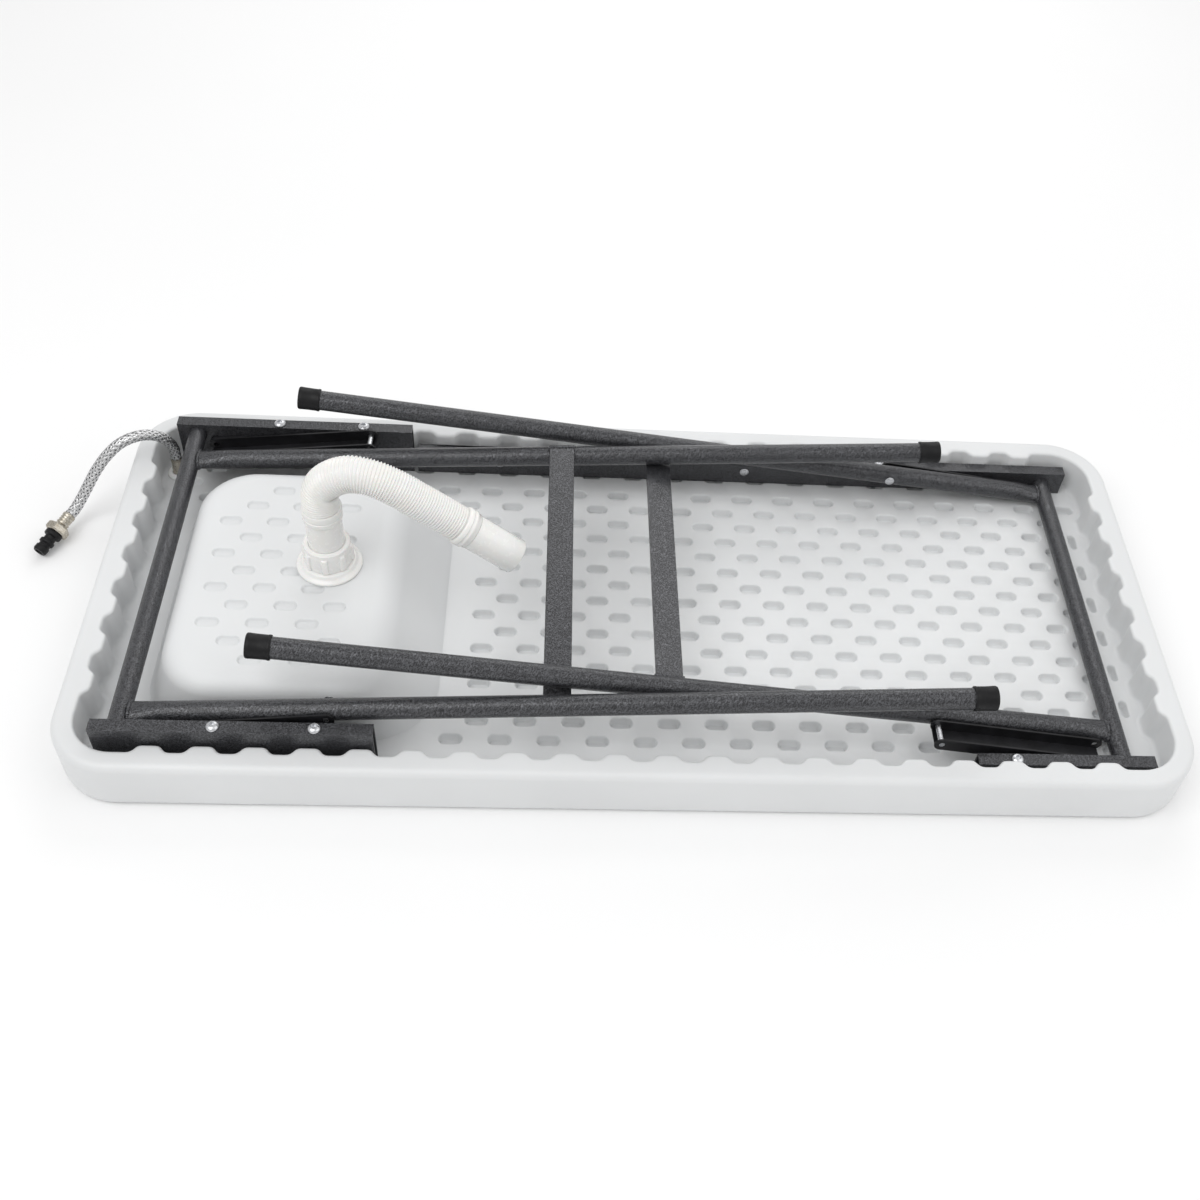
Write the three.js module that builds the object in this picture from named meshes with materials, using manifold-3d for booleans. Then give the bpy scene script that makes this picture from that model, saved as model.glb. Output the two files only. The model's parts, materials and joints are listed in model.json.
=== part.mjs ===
// Folding sink table, stored upside down on its work surface with both leg frames folded.
// Millimetres, +Z up. The floor is z = 0, the long side runs along X, the drain is near -X.
import * as THREE from 'three';
import { mergeVertices } from 'three/addons/utils/BufferGeometryUtils.js';
import Module from 'manifold-3d';

// ---------------------------------------------------------------- driving dimensions
const GAP = 0.3;                       // clearance between touching pieces
const TOP = {
  halfX: 575, halfY: 255, panel: 18, rim: 62,
  cornerR: 65, roundOver: 8, wall: 22,
  toothPitch: 50, toothTop: 20, toothFoot: 33, toothDepth: 8,
};
const BASIN = {
  x0: -489, x1: -222, y0: -174, y1: 148, top: 80, wall: 4, cornerR: 58, edgeR: 20, draft: 5, rampX: 34,
};
const DRAIN = { x: -330, y: 0, hole: 21 };
const INLET = { x: -534, y: 192, hole: 9 };

const TUBE_R = 11;
const TUBE_WALL = 1.4;
const AXLE_R = 10;
const STAND_HEIGHT = 926;              // work surface to the foot ends once unfolded
const LEG_SPACING = 357;
const FRAME_OFFSET = 13;               // each frame is shifted sideways so that the two nest
const WEB_Y = 209;                     // inner face of the hinge channels
const CHANNEL = { width: 14, sheet: 2 };

const FRAMES = {
  left: {
    sign: 1, axleX: -508, axleZ: 66, rise: 0.0625, shift: -FRAME_OFFSET, pivotZ: 60, strapAt: 423,
    strapFront: -4.2, strapBack: 12.9, strapOverBack: 14,
  },
  right: {
    sign: -1, axleX: 505, axleZ: 32, rise: 0.125, shift: FRAME_OFFSET, pivotZ: 34, strapAt: 483,
    strapFront: 4.6, strapBack: -8.6, strapOverBack: 0,
  },
};
const STRAP = { width: 28, thick: 3 };
const FOOT = { r: 12.6, cover: 21, end: 3 };

const BRACE = {
  legPivot: 200, railPivot: 52, endR: 8, plate: 2, pinR: 3, headR: 5.5, headH: 2.2,
};
const LINK_GAP = 0.6;                  // between a leg and its link, and between two links
const LEG_LINK_OUT = WEB_Y - 4;        // outer face of every leg link, measured from the centre plane
const LEG_LINK_DEPTH = 26;             // deepest pressed leg link
const RAIL_LINK_IN = LEG_LINK_OUT + LINK_GAP;

const BOLT = { shankR: 3, headR: 6.5, headH: 3.6, depth: 10 };
const RAIL_RIVET_Z = 36;
const RIVET_TAIL = { share: 0.9, height: 0.9 };
const PIN_HEAD = { flat: 1.6, high: 2.4 };
const PRESS = 0.1;                     // air left where a pin ends flush in a link

const PIPE = { r: 19, wall: 2.2, top: 166, bandLow: 15, bandOut: 1.6 };
const STRAINER = { r: 30, deep: 8, screwR: 17, spigot: 6 };
const FLANGE = { r: 34.5, high: 9, lip: 3, neckR: 27 };
const DRAIN_NUT = { r: 27, high: 24, ribAt: 25.4, ribR: 2.6, ribOver: 2 };
const DRAIN_HOSE_R = 19;
const DRAIN_COLLAR = { out: 2.2, low: 1, in: 3, high: 15 };
const DRAIN_CUFF = { wall: 2.4, high: 56 };
const GROMMET = { bore: 7.4, deep: 14, r: 13.2, high: 5.4 };
const INLET_FERRULE = { r: 6.9, tipR: 6.4, foot: 4, step: 24, high: 40 };
const SUPPLY_R = 6.4;
const SUPPLY_FERRULE = { r: 7.2, tipR: 5.6, straight: 13, high: 15 };
const SUPPLY_NUT = { r: 13.2, faceR: 8, chamferR: 11.8, high: 11.2 };

// ---------------------------------------------------------------- materials
const plastic = () => new THREE.MeshStandardMaterial({ color: 0xeef0f0, roughness: 0.55, metalness: 0 });
const hammered = () => new THREE.MeshStandardMaterial({ color: 0x4a4b4f, roughness: 0.42, metalness: 0.55 });
const black = () => new THREE.MeshStandardMaterial({ color: 0x141416, roughness: 0.5, metalness: 0 });
const blackSteel = () => new THREE.MeshStandardMaterial({ color: 0x1b1b1e, roughness: 0.45, metalness: 0.4 });
const zinc = () => new THREE.MeshStandardMaterial({ color: 0xc9ccd0, roughness: 0.3, metalness: 1 });
const glossWhite = () => new THREE.MeshStandardMaterial({ color: 0xf6f6f6, roughness: 0.25, metalness: 0 });
const braid = () => new THREE.MeshStandardMaterial({ color: 0xb9bcc0, roughness: 0.35, metalness: 0.9 });

// ---------------------------------------------------------------- solids
const wasm = await Module();
wasm.setup();

function toManifold(geometry) {
  const bare = geometry.clone();
  bare.deleteAttribute('normal');
  bare.deleteAttribute('uv');
  const merged = mergeVertices(bare, 1e-4);
  const mesh = new wasm.Mesh({
    numProp: 3,
    vertProperties: new Float32Array(merged.attributes.position.array),
    triVerts: new Uint32Array(merged.index.array),
  });
  return new wasm.Manifold(mesh);
}

function fromManifold(solid) {
  const mesh = solid.getMesh();
  const indexed = new THREE.BufferGeometry();
  indexed.setAttribute('position', new THREE.BufferAttribute(new Float32Array(mesh.vertProperties), 3));
  indexed.setIndex(new THREE.BufferAttribute(new Uint32Array(mesh.triVerts), 1));
  const geometry = indexed.toNonIndexed();
  geometry.computeVertexNormals();
  return geometry;
}

function cut(geometry, ...tools) {
  const solid = tools.reduce((rest, tool) => rest.subtract(toManifold(tool)), toManifold(geometry));
  return fromManifold(solid);
}

function join(...geometries) {
  const [first, ...others] = geometries.map(toManifold);
  return fromManifold(others.reduce((sum, next) => sum.add(next), first));
}

// A box from its two corners.
function box(x0, x1, y0, y1, z0, z1) {
  return new THREE.BoxGeometry(x1 - x0, y1 - y0, z1 - z0)
    .translate((x0 + x1) / 2, (y0 + y1) / 2, (z0 + z1) / 2);
}

// A cylinder between two points.
function rod(from, to, radius, segments = 24) {
  const axis = to.clone().sub(from);
  const turn = new THREE.Quaternion().setFromUnitVectors(new THREE.Vector3(0, 1, 0), axis.clone().normalize());
  const middle = from.clone().add(to).multiplyScalar(0.5);
  return new THREE.CylinderGeometry(radius, radius, axis.length(), segments)
    .applyQuaternion(turn)
    .translate(middle.x, middle.y, middle.z);
}

// A lathe solid: [radius, height] pairs along an axis that starts at a point.
function turned(profile, from, direction, segments = 32) {
  const points = profile.map(([r, h]) => new THREE.Vector2(r, h));
  const turn = new THREE.Quaternion()
    .setFromUnitVectors(new THREE.Vector3(0, 1, 0), direction.clone().normalize());
  return new THREE.LatheGeometry(points, segments).applyQuaternion(turn).translate(from.x, from.y, from.z);
}

// A closed ring profile for turned(): inner and outer radius between two heights.
const ring = (inner, outer, h0, h1) => [[inner, h0], [outer, h0], [outer, h1], [inner, h1], [inner, h0]];

// A plate with its outline in (x, z) and its thickness along Y.
function plate(shape, y0, y1, curveSegments = 12) {
  const depth = Math.abs(y1 - y0);
  return new THREE.ExtrudeGeometry(shape, { depth, bevelEnabled: false, curveSegments })
    .rotateX(Math.PI / 2)
    .translate(0, Math.max(y0, y1), 0);
}

// Points of a rectangle with round corners, counter-clockwise.
function roundedOutline(x0, x1, y0, y1, radius, steps = 8) {
  const corners = [[x1, y0, -90], [x1, y1, 0], [x0, y1, 90], [x0, y0, 180]];
  const points = [];
  corners.forEach(([x, y, start]) => {
    const cx = x + (x === x1 ? -radius : radius);
    const cy = y + (y === y1 ? -radius : radius);
    for (let i = 0; i <= steps; i += 1) {
      const angle = THREE.MathUtils.degToRad(start + (90 * i) / steps);
      points.push([cx + radius * Math.cos(angle), cy + radius * Math.sin(angle)]);
    }
  });
  return points;
}

// A closed solid through outlines with equal point counts, each at its own height.
function loft(sections) {
  const count = sections[0].outline.length;
  const positions = [];
  sections.forEach(({ outline, z }) => outline.forEach(([x, y]) => positions.push(x, y, z)));
  const index = [];
  for (let s = 0; s + 1 < sections.length; s += 1) {
    for (let i = 0; i < count; i += 1) {
      const a = s * count + i;
      const b = s * count + ((i + 1) % count);
      index.push(a, b, b + count, a, b + count, a + count);
    }
  }
  const cap = (section, facesUp) => {
    const { outline, z } = sections[section];
    const centre = positions.length / 3;
    const mid = outline.reduce(([sx, sy], [x, y]) => [sx + x / count, sy + y / count], [0, 0]);
    positions.push(mid[0], mid[1], z);
    for (let i = 0; i < count; i += 1) {
      const a = section * count + i;
      const b = section * count + ((i + 1) % count);
      if (facesUp) {
        index.push(centre, a, b);
      } else {
        index.push(centre, b, a);
      }
    }
  };
  cap(0, false);
  cap(sections.length - 1, true);
  const geometry = new THREE.BufferGeometry();
  geometry.setAttribute('position', new THREE.Float32BufferAttribute(positions, 3));
  geometry.setIndex(index);
  return geometry;
}

// ---------------------------------------------------------------- table top
// Inner edge of the rim: straight sides with a row of trapezoid teeth, plain round corners.
function trayShape() {
  const shape = new THREE.Shape();
  const x = TOP.halfX - TOP.wall;
  const y = TOP.halfY - TOP.wall;
  const r = TOP.cornerR - TOP.wall;
  const sides = [
    { start: [-x + r, -y], dir: [1, 0], length: 2 * (x - r) },
    { start: [x, -y + r], dir: [0, 1], length: 2 * (y - r) },
    { start: [x - r, y], dir: [-1, 0], length: 2 * (x - r) },
    { start: [-x, y - r], dir: [0, -1], length: 2 * (y - r) },
  ];
  const corners = [[x - r, -y + r, -90], [x - r, y - r, 0], [-x + r, y - r, 90], [-x + r, -y + r, 180]];
  sides.forEach(({ start, dir, length }, side) => {
    const inward = [-dir[1], dir[0]];
    const at = (along, depth) => [
      start[0] + dir[0] * along + inward[0] * depth,
      start[1] + dir[1] * along + inward[1] * depth,
    ];
    if (side === 0) {
      shape.moveTo(...at(0, 0));
    }
    const teeth = Math.floor(length / TOP.toothPitch);
    const first = (length - (teeth - 1) * TOP.toothPitch) / 2;
    for (let i = 0; i < teeth; i += 1) {
      const middle = first + i * TOP.toothPitch;
      shape.lineTo(...at(middle - TOP.toothFoot / 2, 0));
      shape.lineTo(...at(middle - TOP.toothTop / 2, TOP.toothDepth));
      shape.lineTo(...at(middle + TOP.toothTop / 2, TOP.toothDepth));
      shape.lineTo(...at(middle + TOP.toothFoot / 2, 0));
    }
    shape.lineTo(...at(length, 0));
    const [cx, cy, from] = corners[side];
    const a0 = THREE.MathUtils.degToRad(from);
    shape.absarc(cx, cy, r, a0, a0 + Math.PI / 2, false);
  });
  return shape;
}

// Outer body: rounded rectangle with a quarter-round at both long edges.
function topBody() {
  const steps = 4;
  const sections = [];
  const level = (inset, z) => ({
    outline: roundedOutline(
      -TOP.halfX + inset, TOP.halfX - inset, -TOP.halfY + inset, TOP.halfY - inset, TOP.cornerR - inset, 10,
    ),
    z,
  });
  for (let i = 0; i <= steps; i += 1) {
    const a = (Math.PI / 2) * (i / steps);
    sections.push(level(TOP.roundOver * (1 - Math.sin(a)), TOP.roundOver * (1 - Math.cos(a))));
  }
  for (let i = 0; i <= steps; i += 1) {
    const a = (Math.PI / 2) * (i / steps);
    sections.push(level(TOP.roundOver * (1 - Math.cos(a)), TOP.rim - TOP.roundOver * (1 - Math.sin(a))));
  }
  return loft(sections);
}

// The sink: steep sides on three sides, a ramp towards the middle of the table, round top edge.
function basinSolid(inset, bottom) {
  const top = BASIN.top - inset;
  const radius = BASIN.edgeR - inset;
  const level = (fall, z) => {
    const height = THREE.MathUtils.clamp((z - TOP.panel) / (BASIN.top - TOP.panel), 0, 1);
    const lean = BASIN.draft * height + inset + fall;
    return {
      outline: roundedOutline(
        BASIN.x0 + lean, BASIN.x1 - lean - BASIN.rampX * height,
        BASIN.y0 + lean, BASIN.y1 - lean, BASIN.cornerR - inset - fall * 0.6, 8,
      ),
      z,
    };
  };
  const sections = [level(0, bottom), level(0, TOP.panel)];
  const steps = 5;
  for (let i = 0; i <= steps; i += 1) {
    const a = (Math.PI / 2) * (i / steps);
    sections.push(level(radius * (1 - Math.cos(a)), top - radius * (1 - Math.sin(a))));
  }
  return loft(sections);
}

function tableTop() {
  const tray = new THREE.ExtrudeGeometry(trayShape(), { depth: TOP.rim, bevelEnabled: false, curveSegments: 8 })
    .translate(0, 0, TOP.panel);
  const shell = join(cut(topBody(), tray), basinSolid(0, 2));
  const up = (x, y, z0, z1, r) => rod(new THREE.Vector3(x, y, z0), new THREE.Vector3(x, y, z1), r, 32);
  return cut(
    shell,
    basinSolid(BASIN.wall, -1),
    up(DRAIN.x, DRAIN.y, BASIN.top - 10, BASIN.top + 5, DRAIN.hole),
    up(INLET.x, INLET.y, -1, TOP.panel + 1, INLET.hole),
    ...boltSpots().map(({ x, y }) => up(x, y, TOP.panel - BOLT.depth - 1, TOP.panel + 1, BOLT.shankR + GAP)),
  );
}

// ---------------------------------------------------------------- hinge channels and rail
const RAISED = { x0: -530, x1: -262, top: 80, frame: 'left', bolts: [-318, -414] };
const LOW = { x1: 532, top: 50, frame: 'right' };
const CHANNELS = [
  { name: 'hinge_channel_front_left', side: -1, ...RAISED },
  { name: 'hinge_channel_back_left', side: 1, ...RAISED },
  { name: 'hinge_channel_front_right', side: -1, ...LOW, x0: 345, bolts: [385] },
  { name: 'side_rail_back', side: 1, ...LOW, x0: -258, bolts: [-60, 300], rivets: [-160, 135] },
];

function boltSpots() {
  return CHANNELS.flatMap(({ name, top, side, bolts }) => bolts.map((x, i) => ({
    name: `${name}_bolt_${i + 1}`, x, y: side * (WEB_Y + CHANNEL.width / 2), top,
  })));
}

function channel({ x0, x1, top, side, frame, bolts, rivets = [] }) {
  const foot = TOP.panel + GAP;
  const inner = side * WEB_Y;
  const outer = side * (WEB_Y + CHANNEL.width);
  const [y0, y1] = [Math.min(inner, outer), Math.max(inner, outer)];
  const s = CHANNEL.sheet;
  const body = cut(box(x0, x1, y0, y1, foot, top), box(x0 - 1, x1 + 1, y0 + s, y1 - s, foot - 1, top - s));
  const { axleX, axleZ, pivotZ, sign } = FRAMES[frame];
  const across = (x, z, r, reach) => rod(
    new THREE.Vector3(x, inner - side, z), new THREE.Vector3(x, inner + side * reach, z), r, 24,
  );
  const holes = [
    across(axleX, axleZ, AXLE_R + GAP, CHANNEL.sheet + 1),
    across(axleX + sign * BRACE.railPivot, pivotZ, BRACE.pinR + GAP, CHANNEL.sheet + 1),
    ...rivets.map((x) => across(x, RAIL_RIVET_Z, BRACE.pinR + GAP, CHANNEL.sheet + 1)),
    ...bolts.map((x) => rod(
      new THREE.Vector3(x, (y0 + y1) / 2, top - 5), new THREE.Vector3(x, (y0 + y1) / 2, top + 5),
      BOLT.shankR + GAP, 20,
    )),
  ];
  return cut(body, ...holes);
}

function bolt({ x, y, top }) {
  const base = TOP.panel - BOLT.depth;
  const h = top + GAP - base;
  const { shankR, headR, headH } = BOLT;
  const profile = [
    [0, 0], [shankR, 0], [shankR, h], [headR, h], [headR, h + headH * 0.4],
    [headR * 0.72, h + headH * 0.85], [headR * 0.3, h + headH], [0, h + headH],
  ];
  return turned(profile, new THREE.Vector3(x, y, base), new THREE.Vector3(0, 0, 1), 20);
}

// A rivet with a domed head at its start and a flatter one at its end, along Y.
function rivet(x, z, yHead, yTail, tailHead = true) {
  const side = Math.sign(yTail - yHead);
  const length = Math.abs(yTail - yHead);
  const { pinR, headR, headH } = BRACE;
  const profile = [
    [0, -headH], [headR * 0.55, -headH * 0.8], [headR, -headH * 0.25], [headR, -GAP / 2], [pinR, -GAP / 2],
  ];
  if (tailHead) {
    const [tailR, end] = [headR * RIVET_TAIL.share, length + RIVET_TAIL.height];
    profile.push([pinR, length], [tailR, length], [tailR, end], [0, end]);
  } else {
    profile.push([pinR, length], [0, length]);
  }
  return turned(profile, new THREE.Vector3(x, yHead, z), new THREE.Vector3(0, side, 0), 20);
}

// ---------------------------------------------------------------- leg frames
// Heights and distances of one frame, all worked out from its axle and its rise.
function frameLayout(key) {
  const frame = FRAMES[key];
  const angle = Math.atan(frame.rise);
  const along = new THREE.Vector3(frame.sign * Math.cos(angle), 0, Math.sin(angle));
  const normal = new THREE.Vector3(-frame.sign * Math.sin(angle), 0, Math.cos(angle));
  const axle = new THREE.Vector3(frame.axleX, 0, frame.axleZ);
  const at = (distance, y, lift = 0) => axle.clone()
    .addScaledVector(along, distance)
    .addScaledVector(normal, lift)
    .setY(y);
  return {
    ...frame, key, angle, along, normal, at,
    length: STAND_HEIGHT - frame.axleZ,
    legY: { front: -LEG_SPACING / 2 + frame.shift, back: LEG_SPACING / 2 + frame.shift },
  };
}

function axleTube({ axleX, axleZ }) {
  const end = WEB_Y + CHANNEL.width / 2;
  const from = new THREE.Vector3(axleX, -end, axleZ);
  return turned(ring(AXLE_R - TUBE_WALL, AXLE_R, 0, 2 * end), from, new THREE.Vector3(0, 1, 0), 28);
}

function legTube(layout, where) {
  const y = layout.legY[where];
  const start = AXLE_R + GAP;
  const end = layout.length - FOOT.end - GAP;
  const tube = turned(ring(TUBE_R - TUBE_WALL, TUBE_R, 0, end - start), layout.at(start, y), layout.along, 28);
  const pivot = layout.at(BRACE.legPivot, y);
  const hole = rod(
    pivot.clone().setY(y - TUBE_R - 2), pivot.clone().setY(y + TUBE_R + 2), BRACE.pinR + GAP, 20,
  );
  return cut(tube, hole);
}

function footCap(layout, where) {
  const inner = TUBE_R + GAP;
  const open = layout.length - FOOT.end - FOOT.cover;
  const profile = [
    [0, FOOT.cover], [inner, FOOT.cover], [inner, 0], [FOOT.r - 0.4, 0], [FOOT.r, 0.6],
    [FOOT.r, FOOT.cover + FOOT.end - 2], [FOOT.r - 1.4, FOOT.cover + FOOT.end], [0, FOOT.cover + FOOT.end],
  ];
  return turned(profile, layout.at(open, layout.legY[where]), layout.along, 32);
}

// Flat bar between the two legs, its ends shaped to the tubes they are welded to.
function strap(layout) {
  const { legY, strapAt, strapFront, strapBack, strapOverBack } = layout;
  const half = STRAP.thick / 2;
  const frontY = legY.front + TUBE_R / 2;
  const backY = strapOverBack > 0 ? legY.back + strapOverBack - TUBE_R : legY.back - TUBE_R / 2;
  const bar = new THREE.Shape();
  bar.moveTo(frontY, strapFront - half);
  bar.lineTo(backY, strapBack - half);
  bar.lineTo(backY, strapBack + half);
  bar.lineTo(frontY, strapFront + half);
  bar.closePath();
  const across = new THREE.Vector3(0, 1, 0);
  const depth = across.clone().cross(layout.normal);
  const basis = new THREE.Matrix4().makeBasis(across, layout.normal, depth);
  const corner = layout.at(strapAt, 0).addScaledVector(depth, -STRAP.width / 2);
  const solid = new THREE.ExtrudeGeometry(bar, { depth: STRAP.width, bevelEnabled: false })
    .applyMatrix4(basis)
    .translate(corner.x, corner.y, corner.z);
  const seats = [legY.front, legY.back].map((y) => rod(
    layout.at(strapAt - STRAP.width, y), layout.at(strapAt + STRAP.width, y), TUBE_R + GAP, 28,
  ));
  return cut(solid, ...seats);
}

// ---------------------------------------------------------------- locking braces
// Two links per leg. Folded, they lie flat on each other; opened, they stand in one line.
function braceLayout(layout) {
  const pivot = new THREE.Vector3(layout.axleX + layout.sign * BRACE.railPivot, 0, layout.pivotZ);
  const folded = layout.at(BRACE.legPivot, 0);
  const open = new THREE.Vector3(layout.axleX, 0, layout.axleZ + BRACE.legPivot);
  const reachFolded = folded.distanceTo(pivot);
  const reachOpen = open.distanceTo(pivot);
  const railLength = (reachOpen - reachFolded) / 2;
  const towards = folded.clone().sub(pivot).normalize();
  const elbow = pivot.clone().addScaledVector(towards, -railLength);
  return { pivot, folded, elbow };
}

// Outline of a link: a bar with round ends between two points in the XZ plane.
function linkShape(a, b, radius) {
  const direction = Math.atan2(b.z - a.z, b.x - a.x);
  const shape = new THREE.Shape();
  shape.absarc(a.x, a.z, radius, direction + Math.PI / 2, direction + Math.PI * 1.5, false);
  shape.absarc(b.x, b.z, radius, direction - Math.PI / 2, direction + Math.PI / 2, false);
  shape.closePath();
  return shape;
}

function legLink(layout, brace, side) {
  const legSide = Math.abs(layout.legY[side > 0 ? 'back' : 'front']) + TUBE_R;
  const inner = Math.max(legSide + LINK_GAP, LEG_LINK_OUT - LEG_LINK_DEPTH);
  const deep = LEG_LINK_OUT - inner > 2 * BRACE.plate + 2;
  const outline = linkShape(brace.folded, brace.elbow, BRACE.endR);
  const pin = (p) => rod(
    new THREE.Vector3(p.x, side * (inner - 2), p.z), new THREE.Vector3(p.x, side * (LEG_LINK_OUT + 2), p.z),
    BRACE.pinR + GAP, 20,
  );
  const whole = plate(outline, side * (deep ? inner : LEG_LINK_OUT - BRACE.plate), side * LEG_LINK_OUT);
  if (!deep) {
    return cut(whole, pin(brace.folded), pin(brace.elbow));
  }
  const span = brace.elbow.clone().sub(brace.folded);
  const tilt = Math.atan2(span.z, span.x);
  const middle = brace.folded.clone().add(brace.elbow).multiplyScalar(0.5);
  const depth = LEG_LINK_OUT - inner - 2 * BRACE.plate;
  const lift = (layout.sign > 0 ? -1 : 1) * BRACE.plate;
  const hollow = new THREE.BoxGeometry(span.length() + 4 * BRACE.endR, depth, 2 * BRACE.endR)
    .translate(0, 0, lift)
    .rotateY(-tilt)
    .translate(middle.x, side * (inner + BRACE.plate + depth / 2), middle.z);
  return cut(whole, hollow, pin(brace.folded), pin(brace.elbow));
}

function railLink(brace, side) {
  const outline = linkShape(brace.pivot, brace.elbow, BRACE.endR - 0.5);
  const body = plate(outline, side * RAIL_LINK_IN, side * (RAIL_LINK_IN + BRACE.plate));
  const hole = (p) => rod(
    new THREE.Vector3(p.x, side * (RAIL_LINK_IN - 2), p.z), new THREE.Vector3(p.x, side * WEB_Y, p.z),
    BRACE.pinR + GAP, 20,
  );
  return cut(body, hole(brace.pivot), hole(brace.elbow));
}

// Pin of the rail link: flush with the link, through the channel's web, with its head inside the channel.
function railPin(pivot, side) {
  const start = RAIL_LINK_IN + PRESS;
  const reach = WEB_Y + CHANNEL.sheet + GAP - start;
  const { pinR, headR } = BRACE;
  const profile = [
    [0, 0], [pinR, 0], [pinR, reach], [headR, reach], [headR, reach + PIN_HEAD.flat],
    [headR * 0.6, reach + PIN_HEAD.high], [0, reach + PIN_HEAD.high],
  ];
  return turned(profile, new THREE.Vector3(pivot.x, side * start, pivot.z), new THREE.Vector3(0, side, 0), 20);
}

// ---------------------------------------------------------------- drain
const DRAIN_FLANGE_TOP = BASIN.top + FLANGE.high;
const DRAIN_NUT_TOP = DRAIN_FLANGE_TOP + DRAIN_NUT.high;

function drainStrainer() {
  const z = BASIN.top - BASIN.wall - GAP;
  const { r, deep, screwR, spigot } = STRAINER;
  const spigotR = DRAIN.hole - 2;
  const profile = [
    [0, -deep], [screwR, -deep], [screwR + 2, 2 - deep], [r, -3], [r, -0.2], [spigotR, 0], [spigotR, spigot],
    [0, spigot],
  ];
  return turned(profile, new THREE.Vector3(DRAIN.x, DRAIN.y, z), new THREE.Vector3(0, 0, 1), 32);
}

function drainFlange() {
  const base = BASIN.top + GAP;
  const high = DRAIN_FLANGE_TOP - base;
  const { r, lip, neckR } = FLANGE;
  const profile = [
    [DRAIN.hole, 0], [r, 0], [r, lip], [neckR + 4, 5.5], [neckR + 2, high - 1.5], [neckR, high],
    [DRAIN.hole, high], [DRAIN.hole, 0],
  ];
  return turned(profile, new THREE.Vector3(DRAIN.x, DRAIN.y, base), new THREE.Vector3(0, 0, 1), 40);
}

// Six flats with a rib on each corner, standing on a round collar.
function drainNut() {
  const base = DRAIN_FLANGE_TOP + GAP;
  const high = DRAIN_NUT_TOP - base;
  const { r, ribAt, ribR, ribOver } = DRAIN_NUT;
  const hex = new THREE.CylinderGeometry(r, r, high, 6).rotateX(Math.PI / 2)
    .translate(DRAIN.x, DRAIN.y, base + high / 2);
  const ribs = Array.from({ length: 6 }, (_, i) => {
    const angle = THREE.MathUtils.degToRad(60 * i);
    const x = DRAIN.x + ribAt * Math.sin(angle);
    const y = DRAIN.y + ribAt * Math.cos(angle);
    return rod(new THREE.Vector3(x, y, base), new THREE.Vector3(x, y, base + high + ribOver), ribR, 10);
  });
  const bore = rod(
    new THREE.Vector3(DRAIN.x, DRAIN.y, base - 1), new THREE.Vector3(DRAIN.x, DRAIN.y, base + high + 4),
    PIPE.r + GAP, 32,
  );
  return cut(join(hex, ...ribs), bore);
}

function drainPipe() {
  const base = DRAIN_FLANGE_TOP + GAP;
  const high = PIPE.top - base;
  const inner = PIPE.r - PIPE.wall;
  const bandR = PIPE.r + PIPE.bandOut;
  const profile = [
    [inner, 0], [PIPE.r, 0], [PIPE.r, high - PIPE.bandLow], [bandR, high - PIPE.bandLow + 1],
    [bandR, high - 1], [PIPE.r + 0.4, high], [inner, high], [inner, 0],
  ];
  return turned(profile, new THREE.Vector3(DRAIN.x, DRAIN.y, base), new THREE.Vector3(0, 0, 1), 32);
}

const DRAIN_HOSE = [
  [-330, 0, 166.3], [-330, 0, 178], [-326, 0, 194], [-314, -1, 207], [-296, -2, 214], [-276, -4, 212],
  [-254, -6, 202], [-232, -8, 187.5], [-210, -9.5, 172], [-190, -11, 157.5],
];
const CUFF_DIRECTION = new THREE.Vector3(0.81, -0.06, -0.583).normalize();

const cuffPoint = (distance) => new THREE.Vector3(...DRAIN_HOSE.at(-1))
  .addScaledVector(CUFF_DIRECTION, distance + GAP);

function drainCollar() {
  const r = DRAIN_HOSE_R;
  const { out, low, high } = DRAIN_COLLAR;
  const inner = r - DRAIN_COLLAR.in;
  const profile = [
    [inner, 0], [r + low, 0], [r + out, 1.5], [r + out, 9], [r + low, 11], [r + low, high], [inner, high],
    [inner, 0],
  ];
  return turned(profile, cuffPoint(0), CUFF_DIRECTION, 32);
}

function drainCuff() {
  const profile = ring(DRAIN_HOSE_R - DRAIN_CUFF.wall, DRAIN_HOSE_R, 0, DRAIN_CUFF.high);
  return turned(profile, cuffPoint(DRAIN_COLLAR.high + GAP), CUFF_DIRECTION, 32);
}

// ---------------------------------------------------------------- water inlet
const SUPPLY_HOSE = [
  [-534, 192, 44.6], [-534, 192, 58], [-537, 187, 74], [-546, 180, 88], [-561, 171, 95], [-579, 162, 92],
  [-595, 154, 80], [-609, 147, 63], [-620, 140, 46], [-629.5, 133, 31], [-636.4, 124.8, 22.1], [-641, 116, 20],
];
const CONNECTOR_DIRECTION = new THREE.Vector3(-0.45, -0.87, -0.2).normalize();

function inletGrommet() {
  const { bore, deep, r, high } = GROMMET;
  const shankR = INLET.hole - GAP;
  const profile = [
    [bore, -deep], [shankR, -deep], [shankR, GAP], [r, GAP], [r, high - 1.8], [r - 1.8, high], [bore, high],
    [bore, -deep],
  ];
  return turned(profile, new THREE.Vector3(INLET.x, INLET.y, TOP.panel), new THREE.Vector3(0, 0, 1), 28);
}

function inletFerrule() {
  const { r, tipR, foot, step, high } = INLET_FERRULE;
  const profile = [[0, 0], [r, 0], [r, step], [tipR, step + 2], [tipR, high], [0, high]];
  return turned(profile, new THREE.Vector3(INLET.x, INLET.y, foot), new THREE.Vector3(0, 0, 1), 24);
}

const connectorPoint = (distance) => new THREE.Vector3(...SUPPLY_HOSE.at(-1))
  .addScaledVector(CONNECTOR_DIRECTION, distance + GAP);

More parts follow.
